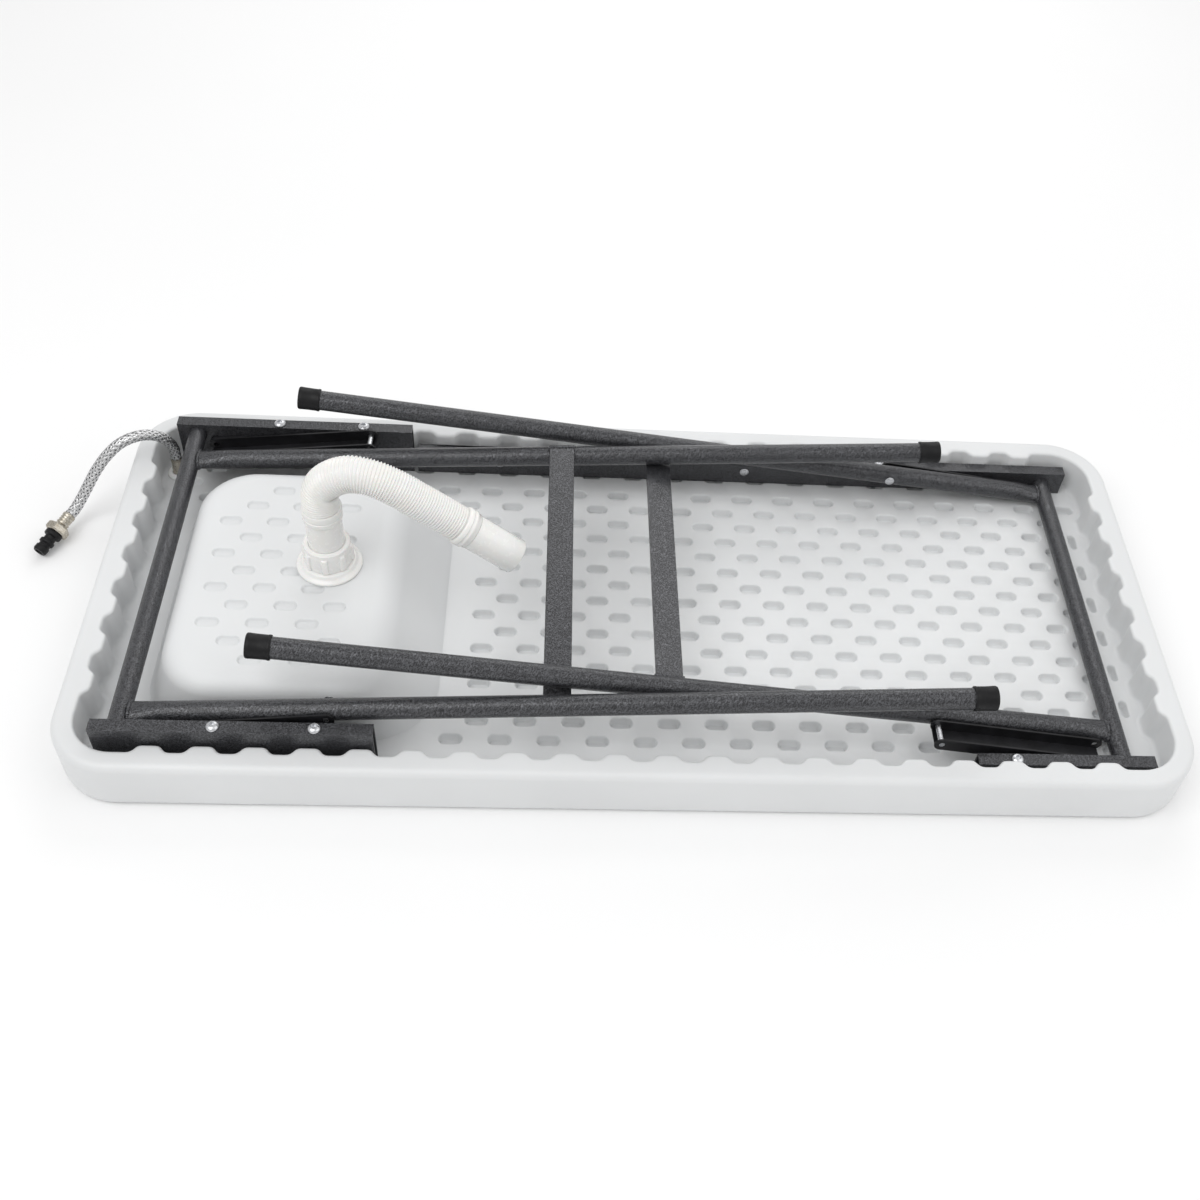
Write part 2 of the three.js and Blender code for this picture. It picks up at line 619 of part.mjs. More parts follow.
function supplyFerrule() {
  const { r, tipR, straight, high } = SUPPLY_FERRULE;
  const profile = [[0, 0], [r, 0], [r, straight], [tipR, high], [0, high]];
  return turned(profile, connectorPoint(0), CONNECTOR_DIRECTION, 24);
}

function supplyNut() {
  const { r, faceR, chamferR, high } = SUPPLY_NUT;
  const profile = [
    [0, 0], [faceR, 0], [chamferR, 1.5], [r, 3.2], [r, high - 1.6], [chamferR, high], [0, high],
  ];
  return turned(profile, connectorPoint(SUPPLY_FERRULE.high + GAP), CONNECTOR_DIRECTION, 6);
}

function quickConnector() {
  const profile = [
    [0, 0], [9.6, 0], [9.6, 5], [6.4, 6.4], [6.4, 11], [8.2, 11.8], [8.2, 15.4], [6.4, 16.2],
    [6.4, 19.4], [7.6, 20.2], [7.6, 26], [6.4, 27.5], [4, 27.5], [4, 17.5], [0, 17.5],
  ];
  const start = SUPPLY_FERRULE.high + SUPPLY_NUT.high + 2 * GAP;
  return turned(profile, connectorPoint(start), CONNECTOR_DIRECTION, 28);
}

// A plain round cord along hand-chosen points.
function cord(points, radius, steps, sides) {
  const path = new THREE.CatmullRomCurve3(points.map((p) => new THREE.Vector3(...p)), false, 'centripetal');
  const section = new THREE.Shape();
  for (let i = 0; i < sides; i += 1) {
    const angle = (2 * Math.PI * i) / sides;
    const [x, y] = [radius * Math.cos(angle), radius * Math.sin(angle)];
    if (i === 0) {
      section.moveTo(x, y);
    } else {
      section.lineTo(x, y);
    }
  }
  section.closePath();
  return new THREE.ExtrudeGeometry(section, { steps, extrudePath: path, bevelEnabled: false });
}

// ---------------------------------------------------------------- assembly
const table = new THREE.Group();

function add(name, geometry, material) {
  const mesh = new THREE.Mesh(geometry, material);
  mesh.name = name;
  table.add(mesh);
}

add('table_top', tableTop(), plastic());
CHANNELS.forEach((spec) => add(spec.name, channel(spec), hammered()));
boltSpots().forEach((spot) => add(spot.name, bolt(spot), zinc()));
CHANNELS.forEach(({ name, side, rivets = [] }) => rivets.forEach((x, i) => {
  const start = side * (WEB_Y - GAP / 2);
  add(`${name}_rivet_${i + 1}`, rivet(x, RAIL_RIVET_Z, start, start + side * (CHANNEL.sheet + GAP)), zinc());
}));

Object.keys(FRAMES).forEach((key) => {
  const layout = frameLayout(key);
  const brace = braceLayout(layout);
  add(`${key}_axle_tube`, axleTube(layout), hammered());
  add(`${key}_strap`, strap(layout), hammered());
  Object.entries({ front: -1, back: 1 }).forEach(([where, side]) => {
    const y = layout.legY[where];
    add(`${key}_leg_${where}`, legTube(layout, where), hammered());
    add(`${key}_foot_cap_${where}`, footCap(layout, where), black());
    add(`${key}_leg_link_${where}`, legLink(layout, brace, side), blackSteel());
    add(`${key}_rail_link_${where}`, railLink(brace, side), blackSteel());
    const legInner = y - side * (TUBE_R + GAP);
    add(
      `${key}_leg_rivet_${where}`,
      rivet(brace.folded.x, brace.folded.z, legInner, side * (LEG_LINK_OUT - PRESS), false),
      zinc(),
    );
    add(`${key}_rail_rivet_${where}`, railPin(brace.pivot, side), zinc());
  });
});

add('drain_strainer', drainStrainer(), zinc());
add('drain_flange', drainFlange(), glossWhite());
add('drain_nut', drainNut(), glossWhite());
add('drain_pipe', drainPipe(), glossWhite());
add('drain_hose', cord(DRAIN_HOSE, DRAIN_HOSE_R, 24, 12), glossWhite());
add('drain_collar', drainCollar(), glossWhite());
add('drain_cuff', drainCuff(), glossWhite());

add('inlet_grommet', inletGrommet(), glossWhite());
add('inlet_ferrule', inletFerrule(), zinc());
add('supply_hose', cord(SUPPLY_HOSE, SUPPLY_R, 40, 10), braid());
add('supply_ferrule', supplyFerrule(), zinc());
add('supply_nut', supplyNut(), zinc());
add('quick_connector', quickConnector(), black());

export default table;
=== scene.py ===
"""Folding sink table stored upside down: moulded top, folded leg frames, drain and water inlet."""

import json
import math

import bmesh
import bpy
import numpy as np
from mathutils import Matrix, Vector, geometry

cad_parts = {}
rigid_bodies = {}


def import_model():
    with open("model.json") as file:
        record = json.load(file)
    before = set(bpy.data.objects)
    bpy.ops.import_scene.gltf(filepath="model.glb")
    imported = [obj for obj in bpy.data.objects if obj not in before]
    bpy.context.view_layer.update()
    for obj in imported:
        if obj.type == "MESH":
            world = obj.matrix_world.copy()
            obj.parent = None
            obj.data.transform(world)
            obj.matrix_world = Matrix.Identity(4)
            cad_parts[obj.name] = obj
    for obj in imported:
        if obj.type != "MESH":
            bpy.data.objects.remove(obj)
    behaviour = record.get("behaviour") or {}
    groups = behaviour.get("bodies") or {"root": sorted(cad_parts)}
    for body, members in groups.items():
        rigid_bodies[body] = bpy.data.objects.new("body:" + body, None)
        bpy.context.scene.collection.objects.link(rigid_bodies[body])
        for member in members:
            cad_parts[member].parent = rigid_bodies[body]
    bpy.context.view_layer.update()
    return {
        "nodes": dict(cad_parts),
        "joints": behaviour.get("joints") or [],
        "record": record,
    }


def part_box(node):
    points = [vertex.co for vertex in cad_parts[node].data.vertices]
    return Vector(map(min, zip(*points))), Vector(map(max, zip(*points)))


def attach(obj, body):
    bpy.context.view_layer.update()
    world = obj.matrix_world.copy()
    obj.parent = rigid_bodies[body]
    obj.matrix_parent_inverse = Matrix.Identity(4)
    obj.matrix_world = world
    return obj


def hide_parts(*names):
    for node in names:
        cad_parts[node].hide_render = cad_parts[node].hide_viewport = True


bl_info = {
    "name": "Folding sink table",
    "version": (1, 0, 0),
    "blender": (4, 5, 0),
    "location": "View3D > Sidebar > Sink table",
    "description": "Builds the finished pieces of a folding sink table around its packed frame",
    "category": "Object",
}

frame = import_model()
JOINTS = {joint["name"]: joint for joint in frame["joints"]}
BODY_OF = {
    node: body
    for body, nodes in frame["record"]["behaviour"]["bodies"].items()
    for node in nodes
}

MM = 0.001
SENSOR = 36.0
SIDES = ("left", "right")
PLACES = ("front", "back")
TURN = 2 * math.pi
UP = Vector((0, 0, 1))
ACROSS = Vector((0, 1, 0))


# ------------------------------------------------------------------ settings
def length(name, description, default):
    """A length in metres."""
    return bpy.props.FloatProperty(
        name=name, description=description, default=default, subtype="DISTANCE", unit="LENGTH"
    )


def colour(name, description, default):
    """A linear colour."""
    return bpy.props.FloatVectorProperty(
        name=name, description=description, default=default, subtype="COLOR", size=3, min=0, max=1
    )


class TopSettings(bpy.types.PropertyGroup):
    """Sizes of the moulded table top."""

    rim: length("Rim height", "Height of the rim above the work surface", 0.062)
    panel: length("Panel height", "Thickness of the double-skin panel", 0.018)
    wall: length("Rim width", "Width of the rim at its notches", 0.022)
    corner: length("Corner radius", "Radius of the outer corners in plan", 0.065)
    round_over: length("Edge radius", "Radius of the outer edges", 0.008)
    inner_round: length("Inner edge radius", "Radius where the rim turns down into the tray", 0.0035)
    tooth_pitch: length("Tooth pitch", "Distance from tooth to tooth round the tray", 0.050)
    tooth_top: length("Tooth crest", "Width of a tooth at its crest", 0.020)
    tooth_foot: length("Tooth foot", "Width of a tooth at its foot", 0.033)
    tooth_depth: length("Tooth depth", "How far a tooth stands into the tray", 0.008)
    pocket_in: length("Pocket place", "Distance of the pocket at a notch's foot from the wall", 0.0215)
    pocket_long: length("Pocket length", "Length of the pocket at a notch's foot", 0.023)
    dimple_pitch: length("Dimple pitch", "Distance between dimples along a row", 0.050)
    dimple_row: length("Dimple row", "Distance between rows", 0.024)
    dimple_long: length("Dimple length", "Length of a dimple at the surface", 0.0250)
    dimple_wide: length("Dimple width", "Width of a dimple at the surface", 0.0138)
    dimple_deep: length("Dimple depth", "Depth of a dimple", 0.0085)
    shade: colour("Plastic", "Colour of the moulded plastic", (0.755, 0.765, 0.77))


class BasinSettings(bpy.types.PropertyGroup):
    """Sizes of the moulded sink."""

    x0: length("Outer end", "Foot of the sink towards the short side", -0.489)
    x1: length("Inner end", "Foot of the ramp", -0.222)
    y0: length("Front", "Foot of the sink towards the front", -0.174)
    y1: length("Back", "Foot of the sink towards the back", 0.148)
    wall: length("Wall", "Wall thickness", 0.004)
    corner: length("Corner radius", "Corner radius in plan", 0.058)
    edge: length("Edge radius", "Radius round the flat", 0.020)
    draft: length("Draft", "How far each side leans in", 0.005)
    ramp: length("Ramp", "How far the inner end leans in", 0.034)
    toe: length("Toe", "How far the foot spreads", 0.015)
    lip: length("Mouth lip", "Radius of the sink's mouth on the work side", 0.006)
    dimple_deep: length("Dimple depth", "Depth of a dimple on the sink", 0.0034)


class FrameSettings(bpy.types.PropertyGroup):
    """Looks of the leg frames, channels and braces."""

    steel: colour("Steel", "Dark of the hammered coat", (0.014, 0.014, 0.016))
    speck: colour("Speck", "Light of the hammered coat", (0.105, 0.107, 0.116))
    flat_length: length("Crimp", "Length of the flattened leg end at the axle", 0.034)
    bead: length("Weld bead", "Radius of a weld bead", 0.0019)


class DrainSettings(bpy.types.PropertyGroup):
    """Sizes of the corrugated drain hose."""

    pitch: length("Ridge pitch", "Distance from ridge to ridge", 0.0029)
    ridge: length("Ridge height", "Half the height of a ridge", 0.0008)
    shade: colour("Drain plastic", "Colour of the drain plastic", (0.86, 0.86, 0.85))


class InletSettings(bpy.types.PropertyGroup):
    """Sizes of the braided supply hose."""

    wire: length("Wire", "Radius of a bundle of braid wires", 0.00080)
    lay: length("Lay", "Length of one turn of the braid", 0.062)
    bundles: bpy.props.IntProperty(
        name="Bundles", description="Bundles that turn each way", default=8, min=3, max=24
    )


class StageSettings(bpy.types.PropertyGroup):
    """Camera and light."""

    focal: bpy.props.FloatProperty(
        name="Focal length", description="Camera lens in millimetres", default=41.31
    )
    place: bpy.props.FloatVectorProperty(
        name="Camera", description="Camera position", default=(-0.0912, -1.0028, 1.1845),
        subtype="XYZ", unit="LENGTH",
    )
    turn: bpy.props.FloatVectorProperty(
        name="Aim", description="Yaw, pitch below the horizon, roll", subtype="EULER",
        default=(0.12520, 0.85198, 0.12153),
    )
    shift: bpy.props.FloatVectorProperty(
        name="Shift", description="Lens shift", size=2, default=(-0.0563, 0.0028)
    )
    floor: colour("Floor", "Colour of the floor", (0.92, 0.92, 0.92))
    key: bpy.props.FloatProperty(name="Key", description="Key light in watts", default=32.0)
    sky: bpy.props.FloatProperty(name="Sky", description="Strength of the surroundings", default=0.66)


# ------------------------------------------------------------------ materials
class Paint:
    """A material under construction: its nodes, links and shader."""

    def __init__(self, name):
        self.material = bpy.data.materials.new(name)
        self.material.use_nodes = True
        self.tree = self.material.node_tree
        self.shader = self.tree.nodes["Principled BSDF"]
        self.place = self.node("ShaderNodeTexCoord").outputs["Object"]

    def node(self, kind, **values):
        """Adds a node; values set its inputs by name, or its own properties."""
        made = self.tree.nodes.new(kind)
        for key, value in values.items():
            label = key.replace("_", " ").title()
            if label in made.inputs:
                made.inputs[label].default_value = value
            else:
                setattr(made, key, value)
        return made

    def link(self, source, target):
        """Joins two sockets."""
        self.tree.links.new(source, target)

    def noise(self, scale, detail=4.0, roughness=0.5, vector=None):
        """Noise on the piece's own coordinates; scale is in waves per metre."""
        made = self.node("ShaderNodeTexNoise", scale=scale, detail=detail, roughness=roughness)
        self.link(vector or self.place, made.inputs["Vector"])
        return made.outputs["Fac"]

    def ramp(self, source, low, high, start=0.35, end=0.65):
        """Turns a value into a blend of two colours."""
        made = self.node("ShaderNodeValToRGB")
        first, last = made.color_ramp.elements
        first.position, last.position = start, end
        first.color = (*low, 1) if hasattr(low, "__len__") else (low, low, low, 1)
        last.color = (*high, 1) if hasattr(high, "__len__") else (high, high, high, 1)
        self.link(source, made.inputs["Fac"])
        return made.outputs["Color"]

    def bump(self, source, strength, distance, under=None):
        """Bump from a height, on top of another bump."""
        made = self.node("ShaderNodeBump", strength=strength, distance=distance)
        self.link(source, made.inputs["Height"])
        if under is not None:
            self.link(under, made.inputs["Normal"])
        return made.outputs["Normal"]

    def set(self, **values):
        """Sets the shader's own sockets: numbers and colours directly, sockets by a link."""
        for key, value in values.items():
            socket = self.shader.inputs[key.replace("_", " ")]
            if isinstance(value, bpy.types.NodeSocket):
                self.link(value, socket)
            else:
                socket.default_value = value
        return self.material


def dimmed(shade, share):
    """A colour made darker."""
    return tuple(c * share for c in shade)


def moulded_plastic(shade):
    """White blow-moulded polyethylene: soft gloss, faint cloudiness, fine leather grain, light scuffs."""
    paint = Paint("moulded_plastic")
    cloud = paint.noise(5.0, 3.0)
    base = paint.ramp(cloud, dimmed(shade, 0.93), shade, 0.3, 0.7)
    grain = paint.noise(1400.0, 2.0, 0.6)
    wave = paint.noise(38.0, 2.0)
    scuff = paint.noise(90.0, 6.0, 0.75)
    rough = paint.ramp(scuff, 0.36, 0.56, 0.4, 0.75)
    normal = paint.bump(grain, 0.16, 0.0004, paint.bump(wave, 0.22, 0.0012))
    return paint.set(
        Base_Color=base, Roughness=rough, Normal=normal, IOR=1.5, Subsurface_Weight=0.08,
        Subsurface_Scale=0.01, Subsurface_Radius=(1.0, 0.9, 0.8),
    )


def hammered_coat(dark, light):
    """Hammertone powder coat: dark puddles with bright metallic edges between them."""
    paint = Paint("hammered_coat")
    warp = paint.noise(260.0, 2.0)
    shifted = paint.node("ShaderNodeMix", data_type="VECTOR")
    shifted.inputs["Factor"].default_value = 0.006
    paint.link(paint.place, shifted.inputs[4])
    turned = paint.node("ShaderNodeCombineXYZ")
    for axis in ("X", "Y", "Z"):
        paint.link(warp, turned.inputs[axis])
    paint.link(turned.outputs["Vector"], shifted.inputs[5])
    cells = paint.node("ShaderNodeTexVoronoi", feature="SMOOTH_F1", scale=720.0, smoothness=0.3)
    paint.link(shifted.outputs[1], cells.inputs["Vector"])
    edge = cells.outputs["Distance"]
    fleck = paint.noise(1500.0, 2.0, 0.7)
    height = paint.node("ShaderNodeMath", operation="MULTIPLY_ADD")
    paint.link(fleck, height.inputs[0])
    height.inputs[1].default_value = 0.35
    paint.link(edge, height.inputs[2])
    base = paint.ramp(height.outputs["Value"], dark, light, 0.50, 0.98)
    rough = paint.ramp(edge, 0.38, 0.24, 0.3, 0.8)
    normal = paint.bump(edge, 0.55, 0.0007)
    return paint.set(
        Base_Color=base, Roughness=rough, Metallic=0.4, Normal=normal, Coat_Weight=0.35, Coat_Roughness=0.16
    )


def black_coat():
    """Smooth black powder coat on the brace links."""
    paint = Paint("black_coat")
    cloud = paint.noise(60.0, 4.0)
    base = paint.ramp(cloud, (0.008, 0.008, 0.009), (0.018, 0.018, 0.021), 0.35, 0.7)
    grain = paint.noise(900.0, 2.0)
    rough = paint.ramp(paint.noise(140.0, 5.0, 0.7), 0.32, 0.46, 0.4, 0.7)
    return paint.set(
        Base_Color=base, Roughness=rough, Metallic=0.2, Normal=paint.bump(grain, 0.3, 0.0003)
    )


def black_moulding():
    """Black polyethylene of the foot caps and the connector."""
    paint = Paint("black_moulding")
    base = paint.ramp(paint.noise(80.0, 4.0), (0.002, 0.002, 0.0025), (0.006, 0.006, 0.007), 0.3, 0.7)
    grain = paint.noise(1100.0, 3.0, 0.6)
    rough = paint.ramp(paint.noise(150.0, 5.0, 0.7), 0.42, 0.6, 0.4, 0.7)
    return paint.set(
        Base_Color=base, Roughness=rough, Normal=paint.bump(grain, 0.3, 0.0004), Specular_IOR_Level=0.28
    )


def zinc_plate():
    """Zinc plate on rivets and bolts: bright, slightly cloudy and scratched."""
    paint = Paint("zinc_plate")
    base = paint.ramp(paint.noise(500.0, 4.0), (0.52, 0.53, 0.55), (0.74, 0.75, 0.77), 0.3, 0.7)
    rough = paint.ramp(paint.noise(900.0, 5.0, 0.7), 0.22, 0.42, 0.4, 0.7)
    grain = paint.noise(1800.0, 3.0, 0.7)
    return paint.set(
        Base_Color=base, Roughness=rough, Metallic=1.0, Normal=paint.bump(grain, 0.2, 0.0002)
    )


def drain_plastic(shade):
    """Glossy white plastic of the drain, a little warmer in places."""
    paint = Paint("drain_plastic")
    warm = (shade[0], shade[1] * 0.985, shade[2] * 0.955)
    base = paint.ramp(paint.noise(30.0, 3.0), warm, shade, 0.3, 0.7)
    rough = paint.ramp(paint.noise(220.0, 4.0, 0.6), 0.18, 0.32, 0.4, 0.7)
    flow = paint.noise(120.0, 2.0)
    return paint.set(
        Base_Color=base, Roughness=rough, Normal=paint.bump(flow, 0.08, 0.0006), Coat_Weight=0.3,
        Coat_Roughness=0.12, Subsurface_Weight=0.06, Subsurface_Scale=0.004,
    )


def nickel_brass():
    """Nickel-plated brass with the warm metal showing through."""
    paint = Paint("nickel_brass")
    base = paint.ramp(paint.noise(350.0, 5.0, 0.65), (0.36, 0.32, 0.25), (0.62, 0.59, 0.53), 0.3, 0.7)
    rough = paint.ramp(paint.noise(700.0, 4.0, 0.7), 0.24, 0.44, 0.4, 0.7)
    grain = paint.noise(1200.0, 3.0, 0.7)
    return paint.set(
        Base_Color=base, Roughness=rough, Metallic=1.0, Normal=paint.bump(grain, 0.25, 0.0003)
    )


def braid_wire():
    """Stainless wire of the hose braid, darker between the bundles."""
    paint = Paint("braid_wire")
    base = paint.ramp(paint.noise(800.0, 3.0), (0.42, 0.42, 0.43), (0.80, 0.80, 0.80), 0.3, 0.65)
    strands = paint.noise(2600.0, 2.0, 0.6)
    return paint.set(
        Base_Color=base, Roughness=0.27, Metallic=1.0, Normal=paint.bump(strands, 0.4, 0.0002)
    )


def strainer_steel():
    """Polished stainless steel of the strainer."""
    paint = Paint("strainer_steel")
    base = paint.ramp(paint.noise(200.0, 4.0), (0.60, 0.61, 0.62), (0.76, 0.77, 0.78), 0.3, 0.7)
    rough = paint.ramp(paint.noise(1000.0, 4.0, 0.7), 0.16, 0.30, 0.4, 0.7)
    return paint.set(Base_Color=base, Roughness=rough, Metallic=1.0)


def pale_floor(shade):
    """Even studio floor."""
    paint = Paint("pale_floor")
    base = paint.ramp(paint.noise(2.0, 2.0), dimmed(shade, 0.99), shade)
    return paint.set(Base_Color=base, Roughness=0.7)


def material(name):
    """A finish by its name, made once."""
    if name in bpy.data.materials:
        return bpy.data.materials[name]
    scene = bpy.context.scene
    coat = scene.sink_frames
    makers = {
        "moulded_plastic": lambda: moulded_plastic(tuple(scene.sink_top.shade)),
        "hammered_coat": lambda: hammered_coat(tuple(coat.steel), tuple(coat.speck)),
        "black_coat": black_coat,
        "black_moulding": black_moulding,
        "zinc_plate": zinc_plate,
        "drain_plastic": lambda: drain_plastic(tuple(scene.sink_drain.shade)),
        "nickel_brass": nickel_brass,
        "braid_wire": braid_wire,
        "strainer_steel": strainer_steel,
        "pale_floor": lambda: pale_floor(tuple(scene.sink_stage.floor)),
    }
    return makers[name]()


# ------------------------------------------------------------------ mesh helpers
def link_object(name, mesh):
    """A new object at the origin."""
    piece = bpy.data.objects.new(name, mesh)
    bpy.context.scene.collection.objects.link(piece)
    return piece


def tidy_mesh(mesh, merge=1e-6):
    """Merges doubles and points all faces outwards."""
    work = bmesh.new()
    work.from_mesh(mesh)
    bmesh.ops.remove_doubles(work, verts=work.verts, dist=merge)
    bmesh.ops.recalc_face_normals(work, faces=work.faces)
    work.to_mesh(mesh)
    work.free()


def solid(name, points, faces, finish, angle=35.0):
    """A mesh piece with smooth faces and sharp edges above an angle in degrees."""
    mesh = bpy.data.meshes.new(name)
    mesh.from_pydata([tuple(p) for p in points], [], faces)
    tidy_mesh(mesh)
    mesh.materials.append(material(finish))
    mesh.shade_smooth()
    mesh.set_sharp_from_angle(angle=math.radians(angle))
    return link_object(name, mesh)


def place(piece, body, finish, *nodes):
    """Puts a piece on its body and hides the CAD nodes it stands for; the finish is not used."""
    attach(piece, body)
    if nodes:
        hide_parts(*nodes)
    return piece


def bevelled(piece, width, segments=3, angle=30.0):
    """Rounds a piece's edges and keeps its flats flat."""
    piece.data.shade_smooth()
    edges = piece.modifiers.new("edges", "BEVEL")
    edges.width = width
    edges.segments = segments
    edges.limit_method = "ANGLE"
    edges.angle_limit = math.radians(angle)
    edges.use_clamp_overlap = True
    flats = piece.modifiers.new("flats", "WEIGHTED_NORMAL")
    flats.keep_sharp = False
    return piece


def softened_copy(node, finish, width):
    """A copy of a CAD node with its edges rounded, in its place."""
    mesh = frame["nodes"][node].data.copy()
    mesh.materials.clear()
    work = bmesh.new()
    work.from_mesh(mesh)
    bmesh.ops.remove_doubles(work, verts=work.verts, dist=5e-6)
    bmesh.ops.dissolve_limit(
        work, angle_limit=math.radians(0.8), use_dissolve_boundaries=False,
        verts=work.verts, edges=work.edges,
    )
    work.to_mesh(mesh)
    work.free()
    mesh.materials.append(material(finish))
    piece = bevelled(link_object(f"{node}_finished", mesh), width)
    return place(piece, BODY_OF[node], finish, node)


def stitch(a, b):
    """Faces between two rings of vertex numbers; a ring of one is a pole."""
    count = max(len(a), len(b))
    faces = []
    for i in range(count):
        j = (i + 1) % count
        if len(a) == 1 and len(b) > 1:
            faces.append((a[0], b[i], b[j]))
        elif len(b) == 1 and len(a) > 1:
            faces.append((a[i], b[0], a[j]))
        elif len(a) > 1:
            faces.append((a[i], a[j], b[j], b[i]))
    return faces


def lofted(rings):
    """Points, faces and vertex numbers of a skin through rings of points; a ring of one is a pole."""
    points, numbers, faces = [], [], []
    for ring in rings:
        numbers.append(list(range(len(points), len(points) + len(ring))))
        points += ring
    for a, b in zip(numbers, numbers[1:]):
        faces += stitch(a, b)
    return points, faces, numbers


def spins(count):
    """Equal steps of one full turn."""
    return [TURN * k / count for k in range(count)]


def turned(name, profile, start, direction, finish, segments, angle):
    """A lathe piece: (radius, height) pairs in millimetres along a direction from a point."""
    swing = Vector(direction).normalized().to_track_quat("Z", "Y")
    rings = []
    for radius, height in profile:
        rings.append([
            Vector(start) + swing @ Vector((radius * math.cos(spin), radius * math.sin(spin), height)) * MM
            for spin in (spins(segments) if radius > 0 else [0])
        ])
    points, faces, _ = lofted(rings)
    return solid(name, points, faces, finish, angle)


def turned_part(node, profile, start, direction, finish, segments, angle):
    """A lathe piece in the place of its CAD node."""
    piece = turned(f"{node}_finished", profile, start, direction, finish, segments, angle)
    return place(piece, BODY_OF[node], finish, node)


def extent(node):
    """A CAD node's size in millimetres."""
    low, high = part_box(node)
    return (high - low) / MM


def foot_of(node):
    """Middle of a CAD node's underside."""
    low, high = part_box(node)
    return Vector(((low.x + high.x) / 2, (low.y + high.y) / 2, low.z))


def joined(piece, other):
    """One mesh of two pieces; the second piece is used up."""
    work = bmesh.new()
    work.from_mesh(piece.data)
    work.from_mesh(other.data)
    mesh = piece.data.copy()
    work.to_mesh(mesh)
    work.free()
    bpy.data.objects.remove(other)
    return mesh


PATH_STEPS = 24


def smooth_path(points, step):
    """Points every step metres along the centripetal Catmull-Rom curve through the given points."""
    knots = [Vector(p) for p in points]
    knots = [2 * knots[0] - knots[1], *knots, 2 * knots[-1] - knots[-2]]
    dense = []
    for p0, p1, p2, p3 in zip(knots, knots[1:], knots[2:], knots[3:]):
        d0, d1, d2 = (math.sqrt((b - a).length) for a, b in ((p0, p1), (p1, p2), (p2, p3)))
        leave = ((p1 - p0) / d0 - (p2 - p0) / (d0 + d1) + (p2 - p1) / d1) * d1
        arrive = ((p2 - p1) / d1 - (p3 - p1) / (d1 + d2) + (p3 - p2) / d2) * d1
        for i in range(PATH_STEPS):
            t = i / PATH_STEPS
            dense.append(
                p1 * (2 * t**3 - 3 * t**2 + 1) + leave * (t**3 - 2 * t**2 + t)
                + p2 * (3 * t**2 - 2 * t**3) + arrive * (t**3 - t**2)
            )
    dense.append(knots[-2])
    lengths = np.concatenate([[0], np.cumsum([(b - a).length for a, b in zip(dense, dense[1:])])])
    count = max(2, round(lengths[-1] / step))
    wanted = np.linspace(0, lengths[-1], count + 1)
    table = np.array([tuple(p) for p in dense])
    return [Vector([float(np.interp(w, lengths, table[:, k])) for k in range(3)]) for w in wanted]


def path_length(path):
    """Length of a line of points."""
    return sum((b - a).length for a, b in zip(path, path[1:]))


def path_frames(path):
    """A steady pair of normals at each point of a path."""
    frames = []
    side = None
    for i, point in enumerate(path):
        ahead = (path[min(i + 1, len(path) - 1)] - path[max(i - 1, 0)]).normalized()
        if side is None:
            side = ahead.orthogonal().normalized()
        side = (side - ahead * side.dot(ahead)).normalized()
        frames.append((point, side, ahead.cross(side)))
    return frames


# ------------------------------------------------------------------ geometry-node trees
class Tree:
    """A geometry-node tree that ends in Realize Instances and Set Material."""

    def __init__(self, name, **inputs):
        self.group = bpy.data.node_groups.new(name, "GeometryNodeTree")
        face = self.group.interface
        face.new_socket(name="Geometry", in_out="INPUT", socket_type="NodeSocketGeometry")
        self.ids = {}
        for label, kind in {**inputs, "Finish": "NodeSocketMaterial"}.items():
            socket = face.new_socket(name=label, in_out="INPUT", socket_type=kind)
            self.ids[label] = socket.identifier
        face.new_socket(name="Geometry", in_out="OUTPUT", socket_type="NodeSocketGeometry")
        self.source = self.group.nodes.new("NodeGroupInput").outputs

    def node(self, kind, **values):
        """Adds a node; a value sets an input by name, or a property of the node."""
        made = self.group.nodes.new(kind)
        for key, value in values.items():
            if hasattr(made, key):
                setattr(made, key, value)
        for key, value in values.items():
            label = key.replace("_", " ").title()
            target = next((s for s in made.inputs if s.name == label and s.enabled), None)
            if target is None:
                continue
            if isinstance(value, bpy.types.NodeSocket):
                self.group.links.new(value, target)
            else:
                target.default_value = value
        return made

    def math(self, operation, a, b):
        """One sum on two numbers or sockets."""
        made = self.group.nodes.new("ShaderNodeMath")
        made.operation = operation
        for socket, value in zip(made.inputs, (a, b)):
            if isinstance(value, bpy.types.NodeSocket):
                self.group.links.new(value, socket)
            else:
                socket.default_value = value
        return made.outputs["Value"]

    def close(self, geometry_socket):
        """Realizes the instances, sets the material and ends the tree."""
        real = self.node("GeometryNodeRealizeInstances", Geometry=geometry_socket)
        finish = self.node(
            "GeometryNodeSetMaterial", Geometry=real.outputs["Geometry"], Material=self.source["Finish"]
        )
        end = self.group.nodes.new("NodeGroupOutput")
        self.group.links.new(finish.outputs["Geometry"], end.inputs["Geometry"])

    def grow(self, name, points, edges, finish, **values):
        """Runs the tree on a line or a set of points and returns the plain mesh piece."""
        seed = bpy.data.meshes.new(f"{name}_seed")
        seed.from_pydata([tuple(p) for p in points], edges, [])
        carrier = link_object(f"{name}_carrier", seed)
        run = carrier.modifiers.new("grow", "NODES")
        run.node_group = self.group
        for label, value in {**values, "Finish": material(finish)}.items():
            run[self.ids[label]] = value
        graph = bpy.context.evaluated_depsgraph_get()
        mesh = bpy.data.meshes.new_from_object(carrier.evaluated_get(graph), depsgraph=graph)
        mesh.name = name
        bpy.data.objects.remove(carrier)
        if not mesh.polygons:
            raise RuntimeError(f"{name}: the tree made no faces")
        tidy_mesh(mesh)
        mesh.shade_smooth()
        mesh.set_sharp_from_angle(angle=math.radians(60))
        return link_object(name, mesh)


